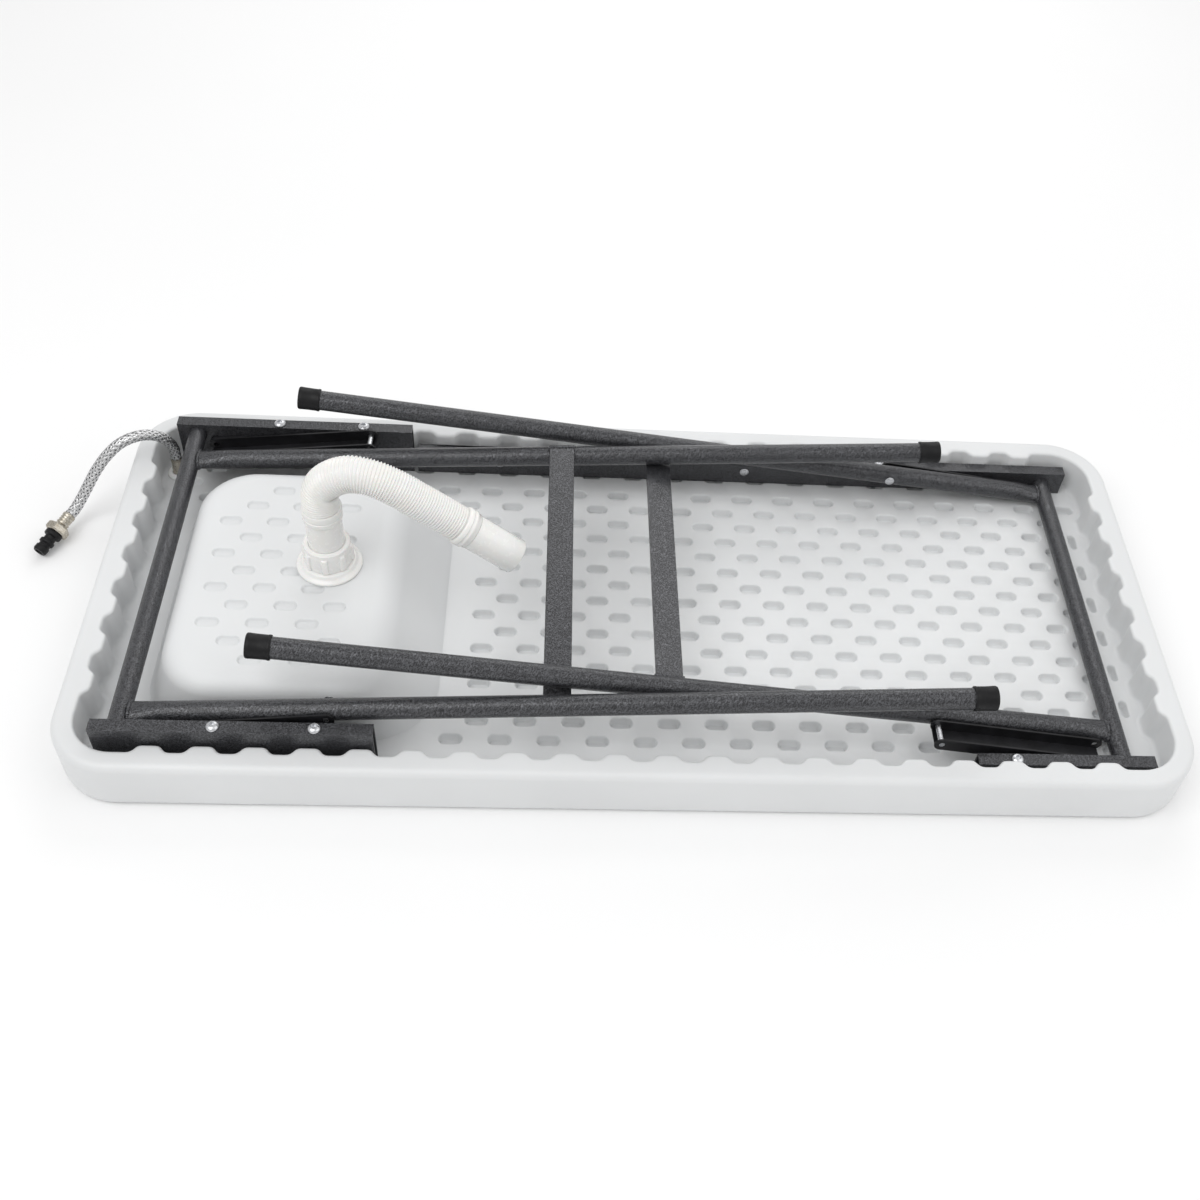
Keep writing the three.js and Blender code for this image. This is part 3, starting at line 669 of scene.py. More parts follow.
def chain(path):
    """Edges that join a line of points."""
    return [(i, i + 1) for i in range(len(path) - 1)]


def ridged_hose_tree():
    """A hose along a line whose radius rises and falls with its length."""
    tree = Tree(
        "ridged_hose", Radius="NodeSocketFloat", Ridge="NodeSocketFloat", Pitch="NodeSocketFloat"
    )
    curve = tree.node("GeometryNodeMeshToCurve", Mesh=tree.source["Geometry"])
    step = tree.math("DIVIDE", tree.source["Pitch"], 10.0)
    fine = tree.node(
        "GeometryNodeResampleCurve", mode="LENGTH", Curve=curve.outputs["Curve"], Length=step
    )
    along = tree.node("GeometryNodeSplineParameter").outputs["Length"]
    angle = tree.math("MULTIPLY", tree.math("DIVIDE", along, tree.source["Pitch"]), TURN)
    swell = tree.math("MULTIPLY", tree.math("SINE", angle, 0.0), tree.source["Ridge"])
    radius = tree.math("ADD", swell, tree.math("SUBTRACT", tree.source["Radius"], tree.source["Ridge"]))
    ring = tree.node("GeometryNodeCurvePrimitiveCircle", Resolution=56, Radius=1.0)
    skin = tree.node(
        "GeometryNodeCurveToMesh", Curve=fine.outputs["Curve"], Profile_Curve=ring.outputs["Curve"],
        Scale=radius, Fill_Caps=True,
    )
    tree.close(skin.outputs["Mesh"])
    return tree


def weld_tree():
    """A row of overlapping blobs of slightly different size along a line: a weld bead."""
    tree = Tree("weld_bead", Radius="NodeSocketFloat", Seed="NodeSocketInt")
    curve = tree.node("GeometryNodeMeshToCurve", Mesh=tree.source["Geometry"])
    fine = tree.node(
        "GeometryNodeResampleCurve", mode="LENGTH", Curve=curve.outputs["Curve"],
        Length=tree.math("MULTIPLY", tree.source["Radius"], 0.95),
    )
    drop = tree.node("GeometryNodeMeshIcoSphere", Radius=tree.source["Radius"], Subdivisions=2)
    size = tree.group.nodes.new("FunctionNodeRandomValue")
    size.data_type = "FLOAT"
    size.inputs[2].default_value = 0.82
    size.inputs[3].default_value = 1.18
    tree.group.links.new(tree.source["Seed"], size.inputs["Seed"])
    row = tree.node(
        "GeometryNodeInstanceOnPoints", Points=fine.outputs["Curve"], Instance=drop.outputs["Mesh"]
    )
    tree.group.links.new(size.outputs[1], row.inputs["Scale"])
    tree.close(row.outputs["Instances"])
    return tree


def stud_tree():
    """A bolt at every point."""
    tree = Tree("bolts", Bolt="NodeSocketObject")
    bolt = tree.node("GeometryNodeObjectInfo", Object=tree.source["Bolt"])
    row = tree.node(
        "GeometryNodeInstanceOnPoints", Points=tree.source["Geometry"], Instance=bolt.outputs["Geometry"]
    )
    tree.close(row.outputs["Instances"])
    return tree


# ------------------------------------------------------------------ moulded top
CORNER_STEPS = 12


def rounded_outline(x0, x1, y0, y1, radius, steps=CORNER_STEPS):
    """A rectangle with round corners, counter-clockwise."""
    points = []
    for x, y, start in ((x1, y0, -90), (x1, y1, 0), (x0, y1, 90), (x0, y0, 180)):
        cx = x + (-radius if x == x1 else radius)
        cy = y + (-radius if y == y1 else radius)
        for i in range(steps + 1):
            angle = math.radians(start + 90 * i / steps)
            points.append((cx + radius * math.cos(angle), cy + radius * math.sin(angle)))
    return points


def filleted(points, radius, steps=3):
    """An open line with its inner corners rounded."""
    line = [points[0]]
    for a, b, c in zip(points, points[1:], points[2:]):
        here, before, after = (Vector(p) for p in (b, a, c))
        into, out = (before - here), (after - here)
        cut = min(radius, into.length * 0.45, out.length * 0.45)
        first, last = here + into.normalized() * cut, here + out.normalized() * cut
        for i in range(steps + 1):
            t = i / steps
            line.append(tuple(first * (1 - t) ** 2 + here * 2 * t * (1 - t) + last * t**2))
    line.append(points[-1])
    return line


def moved_out(outline, distance):
    """An outline moved along its own normals, outwards for a positive distance."""
    ring = np.array(outline)
    ahead = np.roll(ring, -1, 0) - ring
    ahead /= np.linalg.norm(ahead, axis=1)[:, None]
    behind = np.roll(ahead, 1, 0)
    normal = np.stack([ahead[:, 1] + behind[:, 1], -ahead[:, 0] - behind[:, 0]], 1)
    size = np.linalg.norm(normal, axis=1)
    normal /= size[:, None]
    return [tuple(p) for p in ring + normal * distance / np.clip(size[:, None] / 2, 0.6, 1)]


def tray_sides(top, half_x, half_y):
    """Straight sides of the tray: start, direction, length, centre and start of the next corner."""
    x, y, r = half_x - top.wall, half_y - top.wall, top.corner - top.wall
    return (
        ((-x + r, -y), (1, 0), 2 * (x - r), (x - r, -y + r), -90),
        ((x, -y + r), (0, 1), 2 * (y - r), (x - r, y - r), 0),
        ((x - r, y), (-1, 0), 2 * (x - r), (-x + r, y - r), 90),
        ((-x, y - r), (0, -1), 2 * (y - r), (-x + r, -y + r), 180),
    )


def tooth_row(top, span):
    """How many teeth a side takes and where the first one stands."""
    teeth = int(span / top.tooth_pitch)
    return teeth, (span - (teeth - 1) * top.tooth_pitch) / 2


def notch_pockets(top, half_x, half_y):
    """Centre and direction of the deep pocket at the foot of every notch."""
    for start, way, span, _, _ in tray_sides(top, half_x, half_y):
        teeth, first = tooth_row(top, span)
        for i in range(teeth - 1):
            along, deep = first + (i + 0.5) * top.tooth_pitch, top.pocket_in
            yield (
                start[0] + way[0] * along - way[1] * deep, start[1] + way[1] * along + way[0] * deep, way
            )


def tray_outline(top, half_x, half_y):
    """Inner edge of the rim: rows of rounded teeth on the sides, plain round corners."""
    r = top.corner - top.wall
    outline = []
    for start, way, span, centre, turn in tray_sides(top, half_x, half_y):
        teeth, first = tooth_row(top, span)
        line = [(0.0, 0.0)]
        for i in range(teeth):
            middle = first + i * top.tooth_pitch
            line += [
                (middle - top.tooth_foot / 2, 0.0), (middle - top.tooth_top / 2, top.tooth_depth),
                (middle + top.tooth_top / 2, top.tooth_depth), (middle + top.tooth_foot / 2, 0.0),
            ]
        line.append((span, 0.0))
        for along, deep in filleted(line, 4 * MM)[:-1]:
            outline.append((
                start[0] + way[0] * along - way[1] * deep, start[1] + way[1] * along + way[0] * deep
            ))
        for i in range(CORNER_STEPS + 1):
            angle = math.radians(turn + 90 * i / CORNER_STEPS)
            outline.append((centre[0] + r * math.cos(angle), centre[1] + r * math.sin(angle)))
    clean = [outline[0]]
    for point in outline[1:]:
        if min(math.dist(point, clean[-1]), math.dist(point, clean[0])) > 0.2 * MM:
            clean.append(point)
    return clean


def inside(points, outline):
    """Which points lie in an outline, by counting crossings."""
    ring = np.array(outline)
    after = np.roll(ring, -1, 0)
    hit = np.zeros(len(points), bool)
    for (x0, y0), (x1, y1) in zip(ring, after):
        if y0 == y1:
            continue
        between = (points[:, 1] > y0) != (points[:, 1] > y1)
        hit ^= between & (points[:, 0] < (x1 - x0) * (points[:, 1] - y0) / (y1 - y0) + x0)
    return hit


def clearance(x, y, outline):
    """Distance from a point to an outline."""
    ring = np.array(outline)
    after = np.roll(ring, -1, 0)
    run = after - ring
    t = np.clip(((np.array([x, y]) - ring) * run).sum(1) / (run * run).sum(1), 0, 1)
    return float(np.linalg.norm(ring + run * t[:, None] - np.array([x, y]), axis=1).min())


class Shell:
    """A closed skin made of rings, the bands between them and flat fields with dimples."""

    def __init__(self):
        self.points = []
        self.faces = []

    def ring(self, outline, z):
        """Adds a ring of points at a height."""
        first = len(self.points)
        self.points += [(x, y, z) for x, y in outline]
        return list(range(first, len(self.points)))

    def band(self, levels):
        """Adds rings at (outline, z) levels and the faces between them; gives the first and last ring."""
        rings = [self.ring(outline, z) for outline, z in levels]
        for a, b in zip(rings, rings[1:]):
            self.faces += stitch(a, b)
        return rings[0], rings[-1]

    def field(self, edge, holes=(), dimples=()):
        """Fills the flat between an edge ring, hole rings and dimples, each a list of nested rings."""
        rings = [edge, *holes, *(ring for dimple in dimples for ring in dimple)]
        order = [i for ring in rings for i in ring]
        flat = [Vector(self.points[i][:2]) for i in order]
        edges, at = [], 0
        for ring in rings:
            edges += [(at + k, at + (k + 1) % len(ring)) for k in range(len(ring))]
            at += len(ring)
        found = geometry.delaunay_2d_cdt(flat, edges, [], 0, 1e-9)
        spots, triangles, sources = found[0], found[2], found[3]
        centres = np.array([np.mean([spots[i] for i in tri], axis=0) for tri in triangles])
        outline = [self.points[i][:2] for i in edge]
        keep = inside(centres, outline)
        for hole in holes:
            keep &= ~inside(centres, [self.points[i][:2] for i in hole])
        for tri, wanted in zip(triangles, keep):
            if wanted:
                self.faces.append(tuple(order[sources[i][0]] for i in tri))


DIMPLE_POINTS = 16
LATTICE_AT = (0.157, 0.155)
# Each ring of a dimple: how far outside its edge in millimetres, and its share of the depth.
DIMPLE_STEPS = ((1.0, 0.0), (0.1, -0.03), (-0.5, -0.14), (-1.0, -0.38), (-1.6, -0.84), (-2.6, -1.0))


def dimple_rings(shell, x, y, z, long, wide, deep, way=(1, 0)):
    """The nested rings of one stadium-shaped dimple that lies along a direction."""
    rings = []
    for out, fall in DIMPLE_STEPS:
        radius = wide / 2 + out * MM
        outline = []
        for k in range(DIMPLE_POINTS):
            angle = TURN * (k + 0.5) / DIMPLE_POINTS
            along = math.copysign((long - wide) / 2, math.cos(angle)) + radius * math.cos(angle)
            across = radius * math.sin(angle)
            outline.append((x + way[0] * along - way[1] * across, y + way[1] * along + way[0] * across))
        rings.append(shell.ring(outline, z + fall * deep))
    return rings


def fits(x, y, way, long, wide, edges, taken):
    """True when a dimple stays clear of the outlines and of the others; it is then taken down."""
    reach = (long - wide) / 2
    spine = [(x + way[0] * reach * k, y + way[1] * reach * k) for k in (-1, -0.5, 0, 0.5, 1)]
    if min(clearance(px, py, edge) for edge in edges for px, py in spine) < wide / 2 + 2 * MM:
        return False
    if any(math.dist(p, q) < wide + 2.4 * MM for q in taken for p in spine):
        return False
    taken.extend(spine)
    return True


def lattice(top, x_from, x_to, y_from, y_to):
    """Centres of the staggered dimples in a rectangle."""
    pitch, row_pitch = top.dimple_pitch, top.dimple_row
    first_row = math.ceil((y_from - LATTICE_AT[1]) / row_pitch)
    last_row = math.floor((y_to - LATTICE_AT[1]) / row_pitch)
    for row in range(first_row, last_row + 1):
        offset = LATTICE_AT[0] + (row % 2) * pitch / 2
        first, last = math.ceil((x_from - offset) / pitch), math.floor((x_to - offset) / pitch)
        for column in range(first, last + 1):
            yield offset + column * pitch, LATTICE_AT[1] + row * row_pitch


def holds(outline, x, y):
    """True when a point lies in an outline."""
    return inside(np.array([[x, y]]), outline)[0]


def rounding(steps):
    """Shares of a quarter turn: (along, across) from the flat to the side."""
    for i in range(steps + 1):
        angle = math.pi / 2 * i / steps
        yield 1 - math.sin(angle), 1 - math.cos(angle)


def sink_level(top, basin, crest, lean, z, tighten=1.0):
    """The sink's outline at a height, and the height; lean moves it in and tightens its corners."""
    share = min(max((z - top.panel) / (crest - top.panel), 0), 1)
    inset = basin.draft * share + lean
    outline = rounded_outline(
        basin.x0 + inset, basin.x1 - inset - basin.ramp * share, basin.y0 + inset, basin.y1 - inset,
        max(basin.corner - lean * tighten, 8 * MM),
    )
    return outline, z


class SINK_OT_top(bpy.types.Operator):
    """Build the moulded top with its rim, teeth, dimples and sink"""

    bl_idname = "sink_table.top"
    bl_label = "Moulded top"

    def execute(self, context):
        """Builds the skin of the top as one closed piece."""
        top, basin = context.scene.sink_top, context.scene.sink_basin
        half_x, half_y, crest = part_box("table_top")[1]
        shell = Shell()

        def line(ring):
            return [shell.points[i][:2] for i in ring]

        under, rim_outer = self.side(shell, top, half_x, half_y)
        rim_inner, tray_edge = self.tray_wall(shell, top, half_x, half_y)
        shell.field(rim_outer, [rim_inner])
        basin_foot, basin_flat = self.sink_outside(shell, top, basin, crest)

        shape = (top.dimple_long, top.dimple_wide, top.dimple_deep)
        narrow = (top.pocket_long, top.dimple_wide * 0.72, top.dimple_deep * 1.2)
        edges = (line(tray_edge), line(basin_foot))
        taken, dimples = [], []
        for x, y, way in notch_pockets(top, half_x, half_y):
            if fits(x, y, way, *narrow[:2], edges, taken):
                dimples.append(dimple_rings(shell, x, y, top.panel, *narrow, way))
        for x, y in lattice(top, -half_x, half_x, -half_y, half_y):
            on_floor = holds(edges[0], x, y) and not holds(edges[1], x, y)
            if on_floor and fits(x, y, (1, 0), *shape[:2], edges, taken):
                dimples.append(dimple_rings(shell, x, y, top.panel, *shape))
        shell.field(tray_edge, [basin_foot], dimples)

        flat = line(basin_flat)
        shallow = (*shape[:2], basin.dimple_deep)
        shell.field(basin_flat, [], [
            dimple_rings(shell, x, y, crest, *shallow)
            for x, y in lattice(top, basin.x0, basin.x1, basin.y0, basin.y1)
            if holds(flat, x, y) and clearance(x, y, flat) > 13 * MM
        ])

        mouth, sink_flat = self.sink_inside(shell, top, basin, crest)
        shell.field(under, [mouth])
        shell.field(sink_flat)

        piece = solid("moulded_top", shell.points, shell.faces, "moulded_plastic", 48.0)
        place(piece, "table", "moulded_plastic", "table_top")
        return {"FINISHED"}

    def side(self, shell, top, half_x, half_y):
        """The outer side, rounded at the work side and at the rim."""
        def outer(inset):
            return rounded_outline(
                -half_x + inset, half_x - inset, -half_y + inset, half_y - inset, top.corner - inset, 20
            )

        r = top.round_over
        skin = [(outer(r + 2 * MM), 0.0)]
        skin += [(outer(r * along), r * across) for along, across in rounding(6)]
        skin += [(outer(r * across), top.rim - r * along) for along, across in rounding(6)]
        skin.append((outer(r + 1.5 * MM), top.rim))
        return shell.band(skin)

    def tray_wall(self, shell, top, half_x, half_y):
        """The toothed wall of the tray, from the rim down to the panel."""
        teeth = tray_outline(top, half_x, half_y)
        r, foot = top.inner_round, 5 * MM
        wall = [(moved_out(teeth, r + 1.5 * MM), top.rim)]
        wall += [(moved_out(teeth, r * along), top.rim - r * across) for along, across in rounding(4)]
        wall += [
            (moved_out(teeth, -foot * across), top.panel + foot * along) for along, across in rounding(4)
        ]
        wall.append((moved_out(teeth, -foot - 1 * MM), top.panel))
        return shell.band(wall)

    def sink_outside(self, shell, top, basin, crest):
        """The sink's skin in the tray, from its foot to its flat."""
        def level(lean, z, tighten=1.0):
            return sink_level(top, basin, crest, lean, z, tighten)

        edge, toe = basin.edge, basin.toe
        levels = [level(-toe - 1.5 * MM, top.panel)]
        levels += [level(-toe * out, top.panel + toe * up) for up, out in rounding(4)]
        levels += [level(edge * across, crest - edge * along, 0.6) for along, across in rounding(7)]
        levels.append(level(edge + 2 * MM, crest, 0.6))
        return shell.band(levels)

    def sink_inside(self, shell, top, basin, crest):
        """The sink's skin on the work side, from its mouth to its floor."""
        def level(lean, z, tighten=1.0):
            return sink_level(top, basin, crest, lean, z, tighten)

        wall, lip = basin.wall, basin.lip
        bend, ceiling = basin.edge - wall, crest - wall
        levels = [level(wall - lip - 1 * MM, 0.0)]
        levels += [level(wall - lip * along, lip * across) for along, across in rounding(4)]
        levels += [level(wall + bend * across, ceiling - bend * along, 0.6) for along, across in rounding(6)]
        return shell.band(levels)


# ------------------------------------------------------------------ channels, rail, bolts
class SINK_OT_channels(bpy.types.Operator):
    """Finish the hinge channels and the side rail and set their bolts and rivets"""

    bl_idname = "sink_table.channels"
    bl_label = "Channels and rail"

    def execute(self, context):
        """Rounds the pressed edges and grows the bolts on their places."""
        rows = {}
        for node in frame["nodes"]:
            if "_bolt_" in node:
                rows.setdefault(round(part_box(node)[1].z, 4), []).append(node)
            elif "rail_back_rivet" in node:
                rivet_piece(node)
            elif node.startswith(("hinge_channel", "side_rail")):
                softened_copy(node, "hammered_coat", 0.9 * MM)
        for height in sorted(rows):
            self.bolts(height, rows[height])
        return {"FINISHED"}

    def bolts(self, height, nodes):
        """Equal bolts with socket heads that end at one height."""
        size = extent(nodes[0])
        shank, head, rise = 3, size.x / 2, 3.6
        neck = size.z - rise
        profile = [
            (0, 0), (shank, 0), (shank, neck), (head, neck), (head, neck + 0.9),
            (head * 0.93, neck + 1.7), (head * 0.72, neck + 2.9), (head * 0.45, neck + rise),
            (head * 0.4, neck + rise), (head * 0.36, neck + 1.6), (0, neck + 1.4),
        ]
        pattern = turned("bolt_pattern", profile, (0, 0, 0), UP, "zinc_plate", 40, 35.0)
        feet = [foot_of(node) for node in nodes]
        row = stud_tree().grow(f"bolts_{round(height * 1000)}", feet, [], "zinc_plate", Bolt=pattern)
        bpy.data.objects.remove(pattern)
        place(row, "table", "zinc_plate", *nodes)


def rivet_piece(node):
    """A domed rivet along Y in the place of its CAD node."""
    low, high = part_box(node)
    centre = (low + high) / 2
    head, reach, pin = extent(node).z / 2, extent(node).y, 3
    outward = 1 if centre.y > 0 else -1
    if "rail_rivet" in node:
        outward = -outward
    start = Vector((centre.x, low.y if outward > 0 else high.y, centre.z))
    dome = [
        (0, 0), (head * 0.30, 0.08), (head * 0.62, 0.5), (head * 0.86, 1.1), (head, 1.8), (head, 2.1),
        (pin, 2.1),
    ]
    if "rail_back_rivet" in node:
        tail = [(pin, reach - 1), (head * 0.8, reach - 1), (head * 0.8, reach - 0.2), (0, reach)]
    else:
        tail = [(pin, reach - 0.2), (pin * 0.85, reach), (0, reach)]
    return turned_part(node, dome + tail, start, (0, outward, 0), "zinc_plate", 36, 35.0)


# ------------------------------------------------------------------ leg frames
def leg_axis(side, where):
    """Axle point, direction, upward normal, start, end and radius of a folded leg."""
    joint = JOINTS[f"{side}_leg_fold"]
    rise = math.radians(90 - joint["range_deg"][1])
    sign = -joint["axis"][1]
    along = Vector((sign * math.cos(rise), 0, math.sin(rise)))
    normal = Vector((-sign * math.sin(rise), 0, math.cos(rise)))
    low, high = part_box(f"{side}_leg_{where}")
    radius = (high.y - low.y) / 2
    axle = Vector(joint["pos_m"])
    axle.y = (low.y + high.y) / 2
    reach = sorted(abs(x - axle.x) for x in (low.x, high.x))
    start = (reach[0] + radius * math.sin(rise)) / math.cos(rise)
    end = (reach[1] - radius * math.sin(rise)) / math.cos(rise)
    return axle, along, normal, start, end, radius


def leg_tube(side, where, crimp):
    """A leg tube whose end is pressed flat where it meets the axle."""
    axle, along, normal, start, end, radius = leg_axis(side, where)
    stations = [start + crimp * k / 10 for k in range(11)]
    stations += [start + crimp * 1.5, (start + end) / 2, end - 1 * MM, end]
    rings = []
    for station in stations:
        share = min(max((station - start) / crimp, 0), 1)
        ease = 1 - share * share * (3 - 2 * share)
        tall, wide = radius * (1 - 0.32 * ease), radius * (1 + 0.16 * ease)
        if station == end:
            tall = wide = radius - 1 * MM
        rings.append([
            axle + along * station + ACROSS * wide * math.cos(spin) + normal * tall * math.sin(spin)
            for spin in spins(56)
        ])
    points, faces, numbers = lofted(rings)
    faces += [tuple(numbers[0]), tuple(numbers[-1])]
    node = f"{side}_leg_{where}"
    piece = solid(f"{node}_finished", points, faces, "hammered_coat", 40.0)
    return place(piece, BODY_OF[node], "hammered_coat", node)


def axle_piece(side):
    """The cross tube that the legs are welded to."""
    node = f"{side}_axle_tube"
    low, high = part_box(node)
    radius, reach = extent(node).z / 2, extent(node).y
    bore, shoulder = radius - 1.4, radius - 0.4
    start = Vector(((low.x + high.x) / 2, low.y, (low.z + high.z) / 2))
    profile = [
        (bore, 0), (shoulder, 0), (radius, 0.4), (radius, reach / 2), (radius, reach - 0.4),
        (shoulder, reach), (bore, reach), (bore, 0),
    ]
    return turned_part(node, profile, start, ACROSS, "hammered_coat", 56, 35.0)


def foot_cap(side, where):
    """A black push-on cap with a rolled lip and a worn, rounded end."""
    axle, along, _, _, end, radius = leg_axis(side, where)
    node = f"{side}_foot_cap_{where}"
    outer, inner = extent(node).y / 2, radius / MM + 0.15
    gap, cover, tall = 0.3, 21, 24
    base = axle + along * (end + (gap - cover) * MM)
    profile = [
        (0, cover), (inner, cover), (inner, 0.2), (inner + 0.4, 0), (outer - 0.4, 0), (outer, 0.5),
        (outer, 2.6), (outer - 0.35, 3.1), (outer - 0.35, 12), (outer - 0.15, cover - 2),
        (outer, cover - 1), (outer - 0.1, tall - 1.8), (outer - 0.7, tall - 0.6),
        (outer - 1.8, tall - 0.1), (outer - 4, tall), (0, tall - 0.3),
    ]
    return turned_part(node, profile, base, along, "black_moulding", 56, 50.0)


def weld_lines(side):
    """Lines round each leg's end at the axle, and along the strap's ends."""
    lines = []
    strap = [Vector(v.co) for v in frame["nodes"][f"{side}_strap"].data.vertices]
    for where in PLACES:
        axle, along, normal, start, _, radius = leg_axis(side, where)
        ring = []
        for k in range(25):
            spin = TURN * k / 24
            ring.append(
                axle + along * (start - 0.6 * MM) + ACROSS * radius * 1.12 * math.cos(spin)
                + normal * radius * 0.66 * math.sin(spin)
            )
        lines.append(ring)
        end_y = min(strap, key=lambda p: abs(p.y - axle.y)).y
        seat = [p for p in strap if abs(p.y - end_y) < 4 * MM]
        lift = max((p - axle).dot(normal) for p in seat)
        stations = sorted((p - axle).dot(along) for p in seat)
        beside = axle + ACROSS * (end_y - axle.y) + normal * (lift - 0.4 * MM)
        lines.append([
            beside + along * (stations[0] + (stations[-1] - stations[0]) * k / 12) for k in range(13)
        ])
    return lines


class SINK_OT_legs(bpy.types.Operator):
    """Build the leg frames: axles, pressed legs, straps, welds and foot caps"""

    bl_idname = "sink_table.legs"
    bl_label = "Leg frames"

    def execute(self, context):
        """Builds both frames in their folded place."""
        settings = context.scene.sink_frames
        beads = weld_tree()
        for number, side in enumerate(SIDES):
            axle_piece(side)
            softened_copy(f"{side}_strap", "hammered_coat", 0.7 * MM)
            for where in PLACES:
                leg_tube(side, where, settings.flat_length)
                foot_cap(side, where)
            points, edges = [], []
            for line in weld_lines(side):
                edges += [(len(points) + a, len(points) + b) for a, b in chain(line)]
                points += line
            row = beads.grow(
                f"{side}_welds", points, edges, "hammered_coat", Radius=settings.bead, Seed=number
            )
            place(row, f"{side}_frame", "hammered_coat")
        return {"FINISHED"}


class SINK_OT_braces(bpy.types.Operator):
    """Finish the brace links and their rivets"""

    bl_idname = "sink_table.braces"
    bl_label = "Braces"

    def execute(self, context):
        """Rounds the links' edges and turns the rivets."""
        for side in SIDES:
            for where in PLACES:
                softened_copy(f"{side}_leg_link_{where}", "black_coat", 0.5 * MM)
                softened_copy(f"{side}_rail_link_{where}", "black_coat", 0.4 * MM)
                rivet_piece(f"{side}_leg_rivet_{where}")
                rivet_piece(f"{side}_rail_rivet_{where}")
        return {"FINISHED"}


# ------------------------------------------------------------------ drain
DRAIN_ROUTE = [
    (-0.330, 0, 0.1663), (-0.330, 0, 0.178), (-0.326, 0, 0.194), (-0.314, -0.001, 0.207),
    (-0.296, -0.002, 0.214), (-0.276, -0.004, 0.212), (-0.254, -0.006, 0.202),
    (-0.232, -0.008, 0.1875), (-0.210, -0.0095, 0.172), (-0.190, -0.011, 0.1575),
]
DRAIN_RADIUS = 19
DRAIN_STEP = 3 * MM
FIT_GAP = 0.3 * MM


class SINK_OT_drain(bpy.types.Operator):
    """Build the strainer, flange, nut, pipe and the corrugated drain hose"""

    bl_idname = "sink_table.drain"
    bl_label = "Drain"

    def execute(self, context):
        """Turns the fittings and grows the ridged hose."""
        settings = context.scene.sink_drain
        self.flange()
        self.nut()
        self.pipe()
        self.strainer()

        path = smooth_path(DRAIN_ROUTE, DRAIN_STEP)
        end, way = path[-1], (path[-1] - path[-2]).normalized()
        hose = ridged_hose_tree().grow(
            "drain_hose_finished", path, chain(path), "drain_plastic",
            Radius=DRAIN_RADIUS * MM, Ridge=settings.ridge, Pitch=settings.pitch,
        )
        spigot = [(14.4, 0), (16, 0), (16, 68), (14.4, 68), (14.4, 0)]
        inner = turned("spigot", spigot, end + way * 0.2 * MM, way, "drain_plastic", 56, 35.0)
        hose.data = joined(hose, inner)
        place(hose, "table", "drain_plastic", "drain_hose")
        path += [end + way * DRAIN_STEP * (k + 1) for k in range(23)]
        self.cuff(end, way)
        return {"FINISHED"}

    def flange(self):
        """The dished flange under the nut."""
        size = extent("drain_flange")
        rim, tall, bore = size.x / 2, size.z, 21
        profile = [
            (bore, 0), (rim - 0.6, 0), (rim, 0.6), (rim, 2.2), (rim - 0.8, 3.1), (rim - 3, 4),
            (rim - 4.6, 5), (rim - 5.4, 6.6), (rim - 6.2, tall - 0.5), (rim - 7.2, tall), (bore, tall),
            (bore, 0),
        ]
        turned_part("drain_flange", profile, foot_of("drain_flange"), UP, "drain_plastic", 72, 45.0)

    def nut(self):
        """The slip nut: a round body with eight lugs under a plain collar."""
        base, tall, bore = foot_of("drain_nut"), extent("drain_nut").z, 19.3
        # Radius, how far the lugs stand out and height of each ring.
        levels = (
            (bore, 0, 0), (24.2, 0, 0), (25, 0, 0.7), (25, 1.9, 1.5), (24.6, 2.1, tall * 0.72),
            (24.4, 1.3, tall * 0.78), (24.2, 0, tall * 0.80), (24, 0, tall - 1.2), (22.8, 0, tall),
            (bore, 0, tall), (bore, 0, 0),
        )
        rings = []
        for radius, lug, rise in levels:
            ring = []
            for spin in spins(128):
                r = radius + lug * min(max(3 * math.cos(8 * spin) - 1.2, 0), 1)
                ring.append(base + Vector((r * math.cos(spin), r * math.sin(spin), rise)) * MM)
            rings.append(ring)
        points, faces, _ = lofted(rings)
        piece = solid("drain_nut_finished", points, faces, "drain_plastic", 40.0)
        place(piece, "table", "drain_plastic", "drain_nut")

    def pipe(self):
        """The tail pipe with the stepped socket that the hose clips on."""
        r, tall = DRAIN_RADIUS, extent("drain_pipe").z
        profile = [
            (r - 2.2, 0), (r, 0), (r, tall - 17), (r - 0.5, tall - 16.6), (r - 0.5, tall - 15.6),
            (r + 1.3, tall - 15), (r + 1.6, tall - 14), (r + 1.6, tall - 9.5), (r + 0.9, tall - 9),
            (r + 0.9, tall - 7.6), (r + 1.6, tall - 7), (r + 1.6, tall - 1.2), (r + 0.8, tall),
            (r - 2.2, tall), (r - 2.2, 0),
        ]
        turned_part("drain_pipe", profile, foot_of("drain_pipe"), UP, "drain_plastic", 72, 45.0)

    def strainer(self):
        """The strainer on the work side: a dished disc round a screw, with rings of black dots that are
        painted shade for its holes.
        """
        base = foot_of("drain_strainer")
        profile = [
            (0, 0), (4.2, 0), (4.6, 0.5), (4.6, 1.6), (14, 1.8), (16, 1), (18, 0.2), (19.4, 1.2),
            (24, 3.6), (29.4, 5), (30, 5.8), (29.8, 7.6), (19, 8), (19, 14), (0, 14),
        ]
        plate = turned("strainer_finished", profile, base, UP, "strainer_steel", 72, 40.0)
        place(plate, "table", "strainer_steel", "drain_strainer")
        # The holes are not cut: black discs on the plate stand in for them, painted shade where the holes
        # would look dark.
        holes = []
        for radius, count in ((8, 10), (12.2, 16)):
            for k in range(count):
                spin = TURN * (k + 0.5) / count
                holes.append(base + Vector((radius * math.cos(spin), radius * math.sin(spin), 1.45)) * MM)
        hole_shade_profile = [(0, 0), (0.9, 0), (1.25, 0.25), (1.25, 0.6), (0, 0.6)]
        dot = turned("slot_pattern", hole_shade_profile, (0, 0, 0), UP, "black_coat", 16, 35.0)
        row = stud_tree().grow("strainer_holes", holes, [], "black_coat", Bolt=dot)
        bpy.data.objects.remove(dot)
        place(row, "table", "black_coat")

